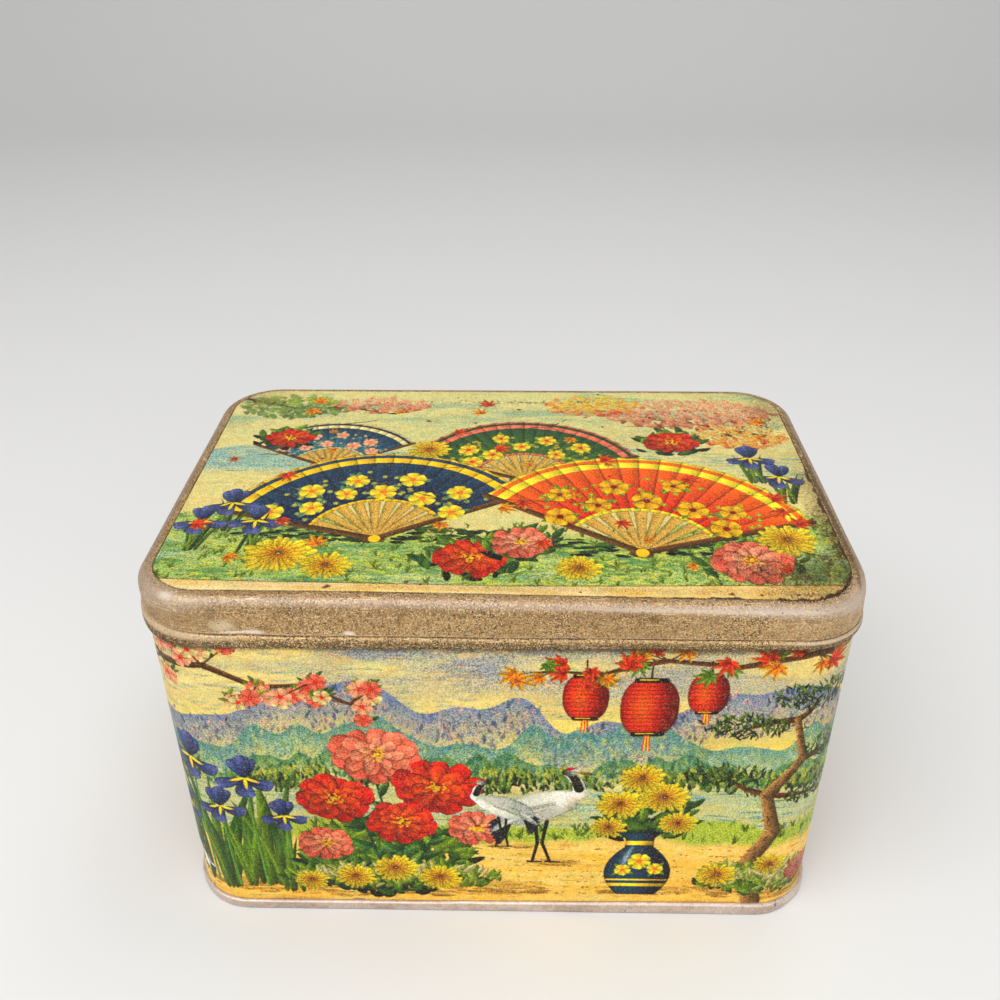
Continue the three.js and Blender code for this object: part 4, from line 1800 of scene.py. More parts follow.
class WallPicture:
    """The picture that runs round the wall: a lake and hills behind a garden.

    Args:
        outline: that it follows.
    """

    SIDE = 155.5
    NICKS = ((152.6, 14.4, 1.0, 0.5), (144.3, 90.5, 0.8, 2.4), (392.0, 70.0, 0.7, 1.6),
             (470.0, 24.0, 0.9, 2.0),
             (40.0, 46.0, 0.6, 2.2), (600.0, 62.0, 1.4, 0.5))
    GLINTS = ((144.6, 13.2, 4.2, 3.0), (150.0, 14.6, 2.4, 0.9))

    def __init__(self, outline: Outline) -> None:
        tile, sizes = FineSheet.TILE, outline.sizes
        self.garden = Garden(outline.length, sizes.print_rim - sizes.print_foot, 45 * tile + 1, 8 * tile
            + 1, 7)
        self.front = float(outline.ends[4] + outline.half_x)
        self.foot = sizes.print_foot

    def ridge(self, level: float, swing: float, lump: float) -> Array:
        """Return the height of a ridge at each column."""
        g = self.garden
        turns = 2 * math.pi * g.x / g.width
        line = np.zeros_like(g.x)
        for k in range(1, 8):
            line += np.sin(turns * round(g.width / lump * k / 2.0) + g.random.uniform(0, 6)) / k
        return level + swing * line

    def paint_distance(self) -> None:
        """Paint the sky, the hills, the lake and the ground."""
        g = self.garden
        up = g.y[:, None]
        g.wash(CREAM, 1.0)
        g.wash(STRAW, 0.8 * g.cloud(40, 9))
        g.wash(mixed(VIOLET, CREAM, 0.3), held((up - 80) / 20, 0, 0.85) * held(g.cloud(30, 7) * 2.8 - 0.8))
        g.wash(mixed(GOLD, CREAM, 0.35), 0.8 * held(1 - np.abs(up - 74) / 16) * g.cloud(46, 7))
        g.dabs(2600, 80, 112, 5, 0.14, [CREAM, mixed(BLUSH, CREAM, 0.3), STRAW, mixed(SKY, CREAM, 0.35),
                                        mixed(VIOLET, CREAM, 0.35)], 0, 5, 0.5)
        for level, swing, lump, ink, depth, marks in (
                (84, 6.0, 64, mixed(VIOLET, SKY, 0.25), 22, [NAVY, VIOLET, mixed(VIOLET, BLUSH, 0.5),
                    BLUSH]),
                (73, 4.2, 40, mixed(TEAL, MIST, 0.25), 17, [TEAL, SKY, mixed(LEAF, MIST, 0.4), CREAM]),
                (62, 3.0, 26, mixed(LEAF, TEAL, 0.4), 12, [PINE, TEAL, LEAF, mixed(GRASS, STRAW, 0.4)])):
            line = self.ridge(level, swing, lump)
            below = line[None, :] - up
            g.wash(ink, held(below / 0.35) * held(1 - below / depth) * (0.66 + 0.34 * g.cloud(5, 2)))
            g.dabs(4600, line - 0.8 * depth, line - 1.3, 2.2, 0.34, marks, 90, 30, 0.5)
        lake = held((52 - up) / 1.2)
        g.wash(mixed(MIST, STRAW, 0.55), lake)
        g.wash(mixed(SKY, CREAM, 0.35), 0.75 * lake * held(g.cloud(30, 1.8, 3) * 2 - 0.6))
        g.dabs(1300, 33, 51.5, 7, 0.07, [CREAM, SKY, TEAL, CREAM, mixed(LEAF, MIST, 0.4)], 0, 2, 0.75)
        reeds = [SOOT, PINE, LEAF, mixed(GRASS, MIST, 0.4), mixed(LEMON, MIST, 0.4)]
        for _ in range(120):
            x = g.random.uniform(0, g.width)
            g.thicket(x, 53.5, 5 + abs(g.off(5)), 2.4 + abs(g.off(4)), 46, reeds, 2.6, 0.34, 90, 30, 0.6)
        bank = self.ridge(36, 1.6, 52)
        g.wash(mixed(GRASS, STRAW, 0.3), (bank[None, :] - up) / 0.4)
        g.dabs(1500, 25, bank, 2.6, 0.2, [PINE, LEAF, GRASS, LEMON], 90, 40, 0.6)
        line = self.ridge(30, 1.5, 44)
        sand = line[None, :] - up
        g.wash(SAND, sand / 3.0)
        g.wash(AMBER, held(sand / 9) * (0.25 + 0.75 * g.cloud(34, 3.5) ** 1.2) * 0.75)
        g.wash(CREAM, held(sand / 3) * held(g.cloud(20, 2.2) * 2.6 - 1.45, 0, 0.55))
        g.dabs(2200, 1, line, 4.5, 0.13, [OCHRE, AMBER, GOLD, SAND, mixed(OCHRE, UMBER, 0.25)], 0, 4, 0.55)
        g.wash(mixed(UMBER, ORANGE, 0.45), held((12 - up) / 6) * held(g.cloud(44, 3.5, 5) * 3.2 - 1.75, 0,
            0.6))
        for k in range(9):
            g.dabs(150, 4 + 2.6 * k, 4.7 + 2.6 * k, 1.1, 0.35, [UMBER, mixed(UMBER, OCHRE, 0.4)], 0, 7, 0.8)
        for _ in range(130):
            g.tuft(g.random.uniform(0, g.width), 32 + g.off(4), 4.5, 6, [LEAF, GRASS], 0.12, 42)

    def paint_garden(self, middle: float, flip: int) -> None:
        """Paint the motifs of one broad face.

        Args:
            middle: of the face, along the sheet.
            flip: 1, or -1 to mirror them.
        """
        g = self.garden

        def at(x: float) -> float:
            """Return a place on the sheet from one on the face."""
            return middle + flip * x

        earth = [mixed(UMBER, OCHRE, 0.35), mixed(UMBER, AMBER, 0.6), OCHRE]
        for x, y, across, up in ((-40, 7, 58, 5), (84, 7, 28, 5), (42, 6, 15, 2.5), (12, 19, 11, 1.6),
                (1, 26, 8, 1.3)):
            g.thicket(at(x), y, across, up, int(across * up * 1.1), earth, 6.0, 0.14, 0, 8, 0.25)
        for x, top in ((-91, 62), (-82, 50), (-73, 58), (-66, 40), (-99, 44)):
            g.tuft(at(x), 5 + g.off(1.5), top, 9, [mixed(PINE, LEAF, 0.4), mixed(LEAF, GRASS, 0.7)], 0.07,
                20)
        for x, y, size in ((-93, 60, 10.5), (-76, 54, 9.5), (-85, 42, 8.5), (-66, 38, 7.5),
                (-100, 36, 7.5)):
            g.stroke([(at(x) + 2, 6), (at(x) + 0.8, y * 0.5), (at(x), y)], 1.1, 0.8, LEAF)
            g.iris(at(x), y, size, BLUE_IRIS)
        branch = [(-112, 104), (-96, 97), (-82, 98), (-68, 90), (-54, 91), (-42, 84)]
        g.stroke([(at(x), y) for x, y in branch], 3.0, 0.9, UMBER, 0.4)
        for x, y in branch:
            for _ in range(7):
                px, py = x + g.off(8), y + g.off(6.5)
                g.stroke([(at(x), y), (at(px), py)], 0.7, 0.4, UMBER)
                g.thicket(at(px), py, 3.2, 2.6, 7, FRESH, 2.6)
                g.blossom(at(px), py, 2.6 + abs(g.off(0.9)), g.pick([BLUSH, CORAL, CREAM]), RED)
        g.thicket(at(-36), 18, 27, 17, 460, SHADE, 6.0, 0.4, 90, 75)
        for x, y in ((-50, 44), (-38, 60), (-22, 50), (-10, 36), (-28, 34)):
            g.spray([(at(-32) + (x + 32) * 0.3 * flip, 18), (at((x - 32) / 2), (18 + y) / 2 + 2),
                (at(x), y)],
                    Blade(8, 3.4, PINE, LEAF, 0.6, 0.9, 0.1, 0.3, 0.2, 0.3, 5), 7, 1.3, PINE)
        for x, y, radius, inks in ((-50, 46, 12, RED_BLOOM), (-36, 64, 14, PINK_BLOOM),
                                   (-19, 51, 13.5, RED_BLOOM),
                                   (-7, 34, 9.5, PINK_BLOOM), (-30, 36, 11.5, RED_BLOOM),
                                   (-54, 26, 9, PINK_BLOOM)):
            g.peony(at(x), y, radius, inks)
        g.thicket(at(-34), 10, 36, 6, 300, SUNNY, 4.6, 0.36, 90, 62)
        for x, y, radius in ((-46, 11, 6.5), (-33, 15, 7.5), (-19, 11, 7), (-60, 9, 5.5)):
            g.daisy(at(x), y, radius, GOLD_BLOOM)
        g.crane(at(12), 19, 44, flip)
        g.crane(at(1), 26, 31, -flip)
        for x, across in ((24, 13), (42, 16.5), (58, 11.5)):
            g.lantern(at(x), 101, across, across * 1.22, [CRIMSON, RED, mixed(ORANGE, GOLD, 0.3)])
        twig = [(112, 103), (86, 104), (66, 99), (46, 101), (28, 96), (14, 97)]
        g.stroke([(at(x), y) for x, y in twig], 2.6, 0.8, UMBER, 0.4)
        for x, y in twig:
            for _ in range(6):
                px, py = x + g.off(10), y + g.off(5)
                g.stroke([(at(x), y), (at(px), py)], 0.6, 0.3, UMBER)
                g.maple(at(px), py, 5.6 + g.off(1.4), g.off(180), g.pick([*AUTUMN, [LEAF, GRASS]]))
        g.pine([(at(x), y) for x, y in ((80, 2), (76, 18), (83, 34), (79, 50), (88, 64), (84, 80))], 6.5,
               [(at(96), 48, 12, 4.2), (at(66), 57, 12, 4.4), (at(99), 66, 12, 4.6), (at(70), 76, 13, 4.8),
                (at(90), 87, 15, 5.2)])
        g.thicket(at(84), 11, 24, 7, 300, SUNNY, 4.6, 0.36, 90, 66)
        for x, y, radius, inks in ((68, 14, 6.5, GOLD_BLOOM), (96, 13, 6.5, PINK_BLOOM),
                (84, 19, 5.5, GOLD_BLOOM)):
            g.daisy(at(x), y, radius, inks)
        g.thicket(at(44), 39, 13, 12, 150, SHADE, 5.5, 0.36, 90, 80)
        for x, y, radius in ((36, 45, 7.5), (49, 48, 8.0), (42, 56, 7.0), (54, 37, 6), (33, 35, 5.5)):
            g.daisy(at(x), y, radius, GOLD_BLOOM)
        g.vase(at(43), 4, 21, 29)

    def paint_side(self, middle: float, flip: int) -> None:
        """Paint the motifs of one narrow face.

        Args:
            middle: of the face, along the sheet.
            flip: 1, or -1 to mirror them.
        """
        g = self.garden

        def at(x: float) -> float:
            """Return a place on the sheet from one on the face."""
            return middle + flip * x

        g.pine([(at(x), y) for x, y in ((-34, 2), (-38, 20), (-29, 38), (-33, 56), (-25, 72))], 6,
               [(at(-44), 50, 11, 4), (at(-18), 60, 13, 4.6), (at(-38), 74, 14, 5), (at(-20), 84, 14, 5)])
        g.thicket(at(-30), 10, 22, 9, 300, SHADE, 5.0, 0.36, 90, 70)
        g.thicket(at(22), 17, 24, 16, 420, SHADE, 6.0, 0.4, 90, 75)
        for x, y, radius, inks in ((10, 34, 12, PINK_BLOOM), (32, 40, 13, RED_BLOOM),
                                   (22, 24, 10, PINK_BLOOM),
                                   (42, 22, 9, RED_BLOOM), (2, 16, 8, RED_BLOOM)):
            g.peony(at(x), y, radius, inks)
        for x, y, radius in ((-42, 16, 6), (-28, 20, 7), (-14, 12, 6.5), (18, 9, 6), (34, 8, 7)):
            g.daisy(at(x), y, radius, GOLD_BLOOM)
        for x, y in ((14, 88), (24, 93), (6, 81), (33, 84)):
            g.swallow(at(x), y, 5, flip)

    def paint(self) -> Sheet:
        """Paint the whole picture."""
        g = self.garden
        self.paint_distance()
        self.paint_garden(self.front, 1)
        back = self.front + g.width / 2
        state = g.random.bit_generator.state
        self.paint_garden(back, -1)
        g.random.bit_generator.state = state
        self.paint_garden(back - g.width, -1)
        self.paint_side(self.front - self.SIDE, 1)
        self.paint_side(self.front + self.SIDE, -1)
        g.ink[:] = held((g.ink - 0.46) * 1.12 + 0.47, 0.03)
        self.paint_wear()
        return g

    def paint_wear(self) -> None:
        """Bare the tin at the rim, at the foot and along the lock seam, and paint shadow on the wall under
        the lid's edge and glints on a dent near the foot.
        """
        g = self.garden
        across, up = g.x[None, :], g.y[:, None] + self.foot
        rough = g.cloud(3.0, 1.2, 3)
        nicks = held(g.cloud(5.0, 3.0, 3) * 6 - 4.1)
        # Painted shadow: the wall darkens towards the lid's lower edge.
        g.wash(mixed(UMBER, SOOT, 0.5), held((up - 106.4 - 1.4 * rough) / 2.6, 0, 0.6))
        lock = np.minimum(across, g.width - across)
        edge = np.maximum(self.foot + 0.45 + 0.8 * nicks + 0.3 * rough - up, up - 113.4 - 0.9 * rough)
        g.bare[:] = held(np.maximum(edge, 1.6 + rough - lock) / 0.4 + 0.5)
        corners = sum(np.exp(-((g.x - (self.front + d)) / 3.2) ** 2) for d in (-96, 96, 213, 415))[None, :]
        g.bare[:] = np.maximum(g.bare, held(corners * (g.cloud(2.2, 2.8, 4) * 2.2 - 0.9) * 1.2 - 0.35, 0,
            0.8))
        for x, z, wide, tall in self.NICKS:
            reach = np.hypot((across - x) / wide, (up - z) / tall) + 0.5 * rough
            g.bare[:] = np.maximum(g.bare, held((1.3 - reach) * 3))
        for x, z, wide, tall in self.GLINTS:
            reach = np.hypot((across - x) / wide, (up - z) / tall) + 0.4 * rough
            g.wash((0.99, 0.98, 0.95), (1.2 - reach) * 3)
        for k in range(9):
            g.spot(335.7 + g.off(0.5), 20 - 1.6 * k + g.off(0.4), 0.8 + g.off(0.3), UMBER, 0.85)


class LidPicture:
    """The picture on the lid: fans laid among flowers, under scratches and rust.

    Args:
        outline: that it lies in.
    """

    SCRATCHES = (
        (((98, 91), (106, 93.5), (112, 94.5), (117, 99.5)), 0.6), (((112, 94.5), (115, 91), (118, 88)),
            0.5),
        (((66, 52), (80, 46), (95, 47), (128, 44)), 0.4), (((40, 96), (52, 99)), 0.5),
        (((118, 68), (128, 68.5)), 0.4),
        (((136, 45), (143, 51)), 0.45), (((136, 95), (162, 96)), 0.3), (((168, 50), (187, 50)), 0.4),
        (((12, 74), (22, 75)), 0.4), (((70, 66), (92, 66)), 0.35), (((52, 66), (64, 69)), 0.35))
    SPOTS = ((172, 90, 2.6), (124, 102, 1.2), (150, 107, 1.2), (160, 108, 1.5), (170, 106, 1.3),
             (101, 108, 1.4),
             (70, 99, 1.6), (86, 97, 1.2), (88, 94, 2.0), (178, 96, 1.4), (183, 84, 1.4), (158, 2.2, 1.5),
             (166, 2.0, 1.0), (176, 2.4, 1.1), (50, 2.4, 1.8), (118, 1.8, 1.0), (186, 60, 1.5),
             (30, 104, 1.3))
    SMUDGES = ((184, 8, 20, 11, 0.34), (192, 40, 5, 34, 0.45), (192, 110, 12, 14, 0.32),
               (100, 3, 100, 1.6, 0.16),
               (4, 118, 20, 10, 0.25))
    STAINS = ((180, 9, 8, 3, 150), (186, 17, 4.5, 6, 90), (188, 34, 2.5, 12, 60), (178, 2.4, 11, 1.3, 26),
              (190, 5, 2.2, 3.4, 90), (191, 24, 1.6, 22, 170), (172, 90, 5, 4, 26), (168, 13, 15, 8, 90),
              (12, 112, 8, 4, 40), (186, 96, 5, 10, 60), (104, 114, 60, 1.6, 120))

    def __init__(self, outline: Outline) -> None:
        tile, sizes = FineSheet.TILE, outline.sizes
        self.garden = Garden(*sizes.plate, 14 * tile + 1, 9 * tile + 1, 3)
        self.corner = sizes.corner - sizes.plate_in

    def paint(self) -> Sheet:
        """Paint the whole picture."""
        self.paint_ground()
        self.paint_motifs()
        self.paint_border()
        self.paint_wear()
        self.paint_edge()
        return self.garden

    def paint_ground(self) -> None:
        """Paint the sky, the water and the lawn."""
        g = self.garden
        x, y = g.x[None, :], g.y[:, None]
        g.wash(CREAM, 1.0)
        g.wash(MIST, 0.45 * g.cloud(60, 30))
        g.wash(STRAW, 0.7 * g.cloud(26, 6) * held((90 - y) / 50, 0.2))
        g.wash(mixed(TEAL, MIST, 0.4), held(g.cloud(26, 5) * 4 - 2.1, 0, 0.6) * held((y - 84) / 20))
        shore = 78 + 2.5 * np.sin(g.x / 17) + 1.5 * np.sin(g.x / 6.3)
        water = held((shore[None, :] - y) / 0.6) * held((y - 62) / 5) * held((84 - x) / 16)
        g.wash(mixed(SKY, MIST, 0.25), 0.85 * water)
        g.dabs(700, 62, shore, 6, 0.08, [TEAL, SKY, CREAM, SKY], 0, 2, 0.5)
        g.dabs(1500, 80, 117, 5, 0.14, [CREAM, STRAW, mixed(SKY, CREAM, 0.5), mixed(BLUSH, CREAM, 0.5)], 0,
            14, 0.4)
        g.dabs(900, 30, 80, 5, 0.14, [CREAM, STRAW, STRAW, mixed(OCHRE, CREAM, 0.4)], 0, 10, 0.4)
        line = 30 + 7 * np.sin(g.x / 29 + 1)
        grass = line[None, :] + 9 * g.cloud(14, 30) - y
        g.wash(mixed(GRASS, MIST, 0.55), held(grass / 3, 0, 0.9))
        g.wash(mixed(LEAF, TEAL, 0.3), held(grass / 12) * held(g.cloud(16, 3) * 3 - 1.3, 0, 0.75))
        g.wash(mixed(SKY, CREAM, 0.5), held(grass / 9) * held(g.cloud(18, 4) * 3.4 - 2.0, 0, 0.6))
        g.dabs(2600, 3.6, line + 3, 3.0, 0.2, [PINE, LEAF, mixed(TEAL, MIST, 0.5), GRASS, LEMON, STRAW], 0,
            22, 0.5)

    def paint_motifs(self) -> None:
        """Paint the leaves, the fans and the flowers."""
        g = self.garden
        for stem in ([(187, 88), (168, 96), (150, 100), (128, 108)], [(2, 116), (22, 108), (40, 109),
                (58, 104)]):
            g.spray(stem, Blade(4, 1.6, PINE, LEAF), 10, 1.6, UMBER)
        for x, y, across, up, inks in (
                (160, 104, 30, 12, ROSY), (128, 110, 18, 8, [RED, ORANGE, AMBER, LEMON]),
                (176, 88, 16, 9, [RED, ORANGE, AMBER, STRAW]), (22, 108, 20, 9, [PINE, LEAF, GRASS]),
                (52, 110, 18, 6, ROSY)):
            g.thicket(x, y, across, up, int(across * up * 1.6), [mixed(ink, CREAM, 0.22) for ink in inks],
                      2.8, 0.6,
                      crisp=0.45)
        for _ in range(230):
            g.tuft(g.random.uniform(2, g.width - 2), g.random.uniform(3, 33), 3.6, 4,
                   [mixed(LEAF, GRASS, 0.2), mixed(GRASS, LEMON, 0.2)], 0.14, 44)
        for x, y, across in ((60, 27, 44), (134, 22, 47), (104, 55, 30)):
            g.thicket(x, y, across, 4.5, int(across * 3.2), [SOOT, PINE, LEAF], 4.0, 0.3, 0, 12)
        g.fan(40, 66, 31, 32, 150, [TEAL, NAVY], CREAM, BLUSH, CORAL, SKY)
        g.fan(103, 58, 40, 24, 156, [mixed(LEAF, PINE, 0.3), PINE], CORAL, LEMON, RED, GRASS)
        g.fan(60, 25, 50, 30, 163, [NAVY, mixed(NAVY, TEAL, 0.35)], GOLD, LEMON, ORANGE, TEAL)
        g.fan(136, 19, 54, 18, 146, [RED, ORANGE], LEMON, GOLD, CRIMSON, LEAF)
        for x, y in ((15, 44), (24, 34), (8, 34), (183, 62), (176, 74)):
            g.tuft(x, y - 16, 22, 7, [PINE, GRASS], 0.08, 22)
            g.iris(x, y, 8.5, BLUE_IRIS)
        for x, y, radius, inks in ((88, 16, 11, RED_BLOOM), (102, 24, 9, PINK_BLOOM),
                                   (166, 16, 11.5, PINK_BLOOM),
                                   (24, 86, 8, RED_BLOOM), (152, 84, 9, RED_BLOOM)):
            g.thicket(x, y - 2, radius * 1.3, radius * 0.9, 60, SHADE, 5.5, 0.4)
            g.peony(x, y, radius, inks)
        for x, y, radius in ((34, 17, 10.5), (48, 12, 7.5), (178, 26, 9), (118, 12, 6.5), (72, 78, 7)):
            g.daisy(x, y, radius, GOLD_BLOOM)
        for _ in range(34):
            x, y = g.random.uniform(6, g.width - 6), g.random.uniform(8, g.height - 6)
            g.maple(x, y, 4.6 + g.off(1.6), g.off(180), g.pick(AUTUMN))

    def paint_border(self) -> None:
        """Paint the pale border along the front."""
        g = self.garden
        x, y = g.x[None, :], g.y[:, None]
        inside = 3.9 + 1.5 * held(1 - x / 50) ** 2 + 2.4 * held((x - 95) / 90) + 0.15 * np.sin(x / 21) - y
        border = held(inside / 0.2)
        g.wash((0.94, 0.82, 0.56), border)
        g.wash(OCHRE, border * held(g.cloud(12, 1.5) * 2.4 - 1.0, 0, 0.6))
        g.wash(mixed(OCHRE, STRAW, 0.3), border * held((x - 110) / 90, 0, 0.45))
        g.wash(UMBER, 0.8 * held(1 - np.abs(inside) / 0.3))

    def paint_wear(self) -> None:
        """Paint the scratches, rust spots and stains."""
        g = self.garden
        for points, width in self.SCRATCHES:
            for (ax, ay), (bx, by) in zip(points, points[1:]):
                count = max(2, round(math.hypot(bx - ax, by - ay) / 1.8))
                for k in range(count):
                    if g.random.random() < 0.86:
                        px, py = ax + (bx - ax) * k / count, ay + (by - ay) * k / count
                        turn = math.degrees(math.atan2(by - ay, bx - ax))
                        g.blade(px, py + g.off(0.12), turn + g.off(7), Blade(
                            2.6 + g.off(0.7), width * (1 + g.off(0.4)), UMBER, mixed(UMBER, SOOT, 0.5),
                            rib=0, rim=0), 0.8)
        for px, py, size in self.SPOTS:
            for _ in range(5):
                g.spot(px + g.off(0.4) * size, py + g.off(0.25) * size, size * (0.35 + abs(g.off(0.45))),
                       mixed(UMBER, CRIMSON, abs(g.off(0.4))), 0.6)
        x, y = g.x[None, :], g.y[:, None]
        for px, py, across, up, strength in self.SMUDGES:
            reach = np.hypot((x - px) / across, (y - py) / up) + 0.7 * g.cloud(9, 7, 4)
            g.wash(mixed(UMBER, SOOT, 0.3), strength * held(1.6 - reach))
        for px, py, across, up, count in self.STAINS:
            for _ in range(count):
                turn, out = g.off(math.pi), abs(g.off(1.0))
                g.spot(*beside(px, py, turn, across * out, up * out), 0.35 + abs(g.off(0.45)),
                       mixed(UMBER, SOOT, abs(g.off(0.7))), 0.55)

    def paint_edge(self) -> None:
        """Paint the rust round the edge, and bare the tin there."""
        g = self.garden
        x, y = g.x[None, :], g.y[:, None]
        past = np.abs(x - g.width / 2) - g.width / 2 + self.corner, np.abs(y - g.height
            / 2) - g.height / 2 + self.corner
        inside = self.corner - np.hypot(*(np.maximum(m, 0) for m in past)) - np.minimum(np.maximum(*past),
            0)
        rough = g.cloud(3.0, 3.0, 4)
        right = held((x - 110) / 60) * held((100 - y) / 40)
        rust = 0.3 * rough + 0.05 + 1.5 * right * held(rough * 2 - 0.7)
        g.wash(mixed(UMBER, SOOT, 0.35), held((rust - inside) / 0.3, 0, 0.9))
        g.wash(mixed(UMBER, SOOT, 0.6), 0.75 * held(1 - np.abs(inside - 0.2) / 0.2))
        g.bare[:] = held((0.06 + 0.4 * held(rough * 5 - 3.7) - inside) / 0.2)


# Parts of the tin


def plate_grid(width: float, depth: float, corner: float, columns: int, rows: int) -> tuple[Array, Array,
        Array]:
    """Return a grid that fills a rectangle with round corners.

    Args:
        width, depth: of the rectangle.
        corner: radius of its corners.
        columns, rows: points across and up.

    Returns:
        Their x and y, and how far they lie inside the edge.
    """
    x, y = np.meshgrid(np.linspace(-width / 2, width / 2, columns), np.linspace(-depth / 2, depth / 2,
        rows))
    inside = np.minimum(width / 2 - np.abs(x), depth / 2 - np.abs(y))
    a = held(np.abs(x) - (width / 2 - corner), 0, None)
    b = held(np.abs(y) - (depth / 2 - corner), 0, None)
    shrink = np.where((a > 0) & (b > 0), np.maximum(a, b) / np.maximum(np.hypot(a, b), 1e-9), 1.0)
    return np.sign(x) * (np.abs(x) - a + a * shrink), np.sign(y) * (np.abs(y) - b + b * shrink), inside


class Part:
    """A sub-assembly of the tin.

    Args:
        outline: that it follows.
        carrier: that carries sections round.
        finishes: of the tin.
    """

    DENTS: tuple[Dent, ...]
    WAVES: tuple[float, float, float, int]
    SAGS: tuple[Sag, ...]

    def __init__(self, outline: Outline, carrier: CarriedSection, finishes: Finishes) -> None:
        self.outline, self.sizes = outline, outline.sizes
        self.carrier, self.finishes = carrier, finishes
        self.waves = Waves(outline, self.DENTS, *self.WAVES, self.SAGS)


class Wall(Part):
    """The wall: a plain sheet, folded in at the rim, with the printed faces over it."""

    PARTS = (("wall_print_left", 0, 9, 150000), ("wall_print_front_left", 9, 17, 185000),
             ("wall_print_front_right", 17, 26, 185000), ("wall_print_right", 26, 35, 160000),
             ("wall_print_back", 35, 45, 150000))
    DENTS = (
        Dent(144.5, 13.5, 5.5, 6.0, 0.85), Dent(150.5, 14.0, 3.0, 2.0, 0.3),
        Dent(144.3, 90.5, 4.0, 4.5, 0.5),
        Dent(352.0, 6.5, 5.5, 4.5, 0.5), Dent(200.0, 60.0, 42.0, 30.0, 0.35),
        Dent(300.0, 84.0, 30.0, 24.0, 0.3),
        Dent(395.0, 50.0, 24.0, 30.0, 0.7), Dent(412.0, 74.0, 5.0, 8.0, 0.45),
        Dent(548.0, 66.0, 40.0, 22.0, 0.55),
        Dent(575.0, 30.0, 5.0, 4.0, 0.5), Dent(82.0, 52.0, 22.0, 34.0, 0.6),
        Dent(66.0, 24.0, 4.0, 6.0, 0.4))
    WAVES = (4.0, 108.0, 0.22, 11)
    SAGS = (FOOT_SAG, RIM_SAG)

    def build_sheet(self) -> None:
        """Build the plain sheet that the printed faces lie on."""
        rim, thick, hem = self.sizes.rim, self.sizes.sheet, self.sizes.rim - self.sizes.hem
        section = rounded([
            (-0.12, 0.55, 0), (-0.12, rim - 0.9, 0.5), (0.0, rim - 0.55, 0.3), (0.0, rim, 0.34),
            (-0.70, rim, 0.34),
            (-0.70, hem, 0.2), (-thick - 0.02, hem, 0.05), (-thick, 0.55, 0)])
        sheet = self.carrier.build("wall_sheet", divided(section, 2.2), self.waves, self.finishes.inside)
        publish(sheet, Body.TIN, "body_wall")

    def build_prints(self, picture: Sheet) -> None:
        """Build the printed faces from the picture that runs round the wall."""
        tile = FineSheet.TILE
        for name, first, last, budget in self.PARTS:
            columns = slice(first * tile, last * tile + 1)
            s, z = np.meshgrid(picture.x[columns].astype(float), picture.y.astype(float)
                + self.sizes.print_foot)
            shift = self.waves.shift(s, z)
            seam = np.abs((s + 10) % self.outline.length - 10)
            shift -= 0.14 * np.exp(-(seam / 0.5) ** 2)
            faces = []
            for out in (0.0, -0.09):
                x, y = self.outline.point(np.minimum(s, self.outline.length - 1e-6), out + shift)
                face = np.stack([x, y, z], axis=2)
                face[..., 2] += self.waves.lift(face)
                faces.append(face)
            ink = np.concatenate([picture.ink[:, columns], picture.bare[:, columns, None]], axis=2)
            piece = FineSheet(*faces, ink, budget).build(name, self.finishes.wall_print, self.finishes.seam)
            publish(piece, Body.TIN, "body_wall")

    def build_seam(self) -> None:
        """Build the folded lock seam inside the back."""
        s = self.sizes
        low, high = s.pan_recess + s.sheet + 1, s.rim - s.hem - 1
        rib = rounded([(-2.5, 0.1, 0), (2.5, 0.1, 0), (2.5, -0.3, 0.2), (2.1, -0.66, 0.3),
                       (-2.1, -0.66, 0.3),
                       (-2.5, -0.3, 0.2)], 4)
        heights = np.linspace(low, high, 60)
        places, faces, count = [], [], len(rib)
        for z in heights:
            inset = 0.0 if low < z < high else 0.12
            shift = float(self.waves.shift(np.array(0.0), np.array(z)))
            for across, out in rib:
                places.append((s.seam_x + across * (1 - inset), s.depth / 2 - s.sheet + shift + out + inset,
                    z))
        for k in range(len(heights) - 1):
            for i in range(count):
                a, b = k * count + i, k * count + (i + 1) % count
                faces += [(a, b, b + count), (a, b + count, a + count)]
        last = (len(heights) - 1) * count
        faces += [(i + 1, i, 0) for i in range(1, count - 1)]
        faces += [(last, last + i, last + i + 1) for i in range(1, count - 1)]
        piece = new_piece("side_seam", np.array(places), np.array(faces)[:, ::-1], [self.finishes.inside])
        publish(piece, Body.TIN, "body_wall")


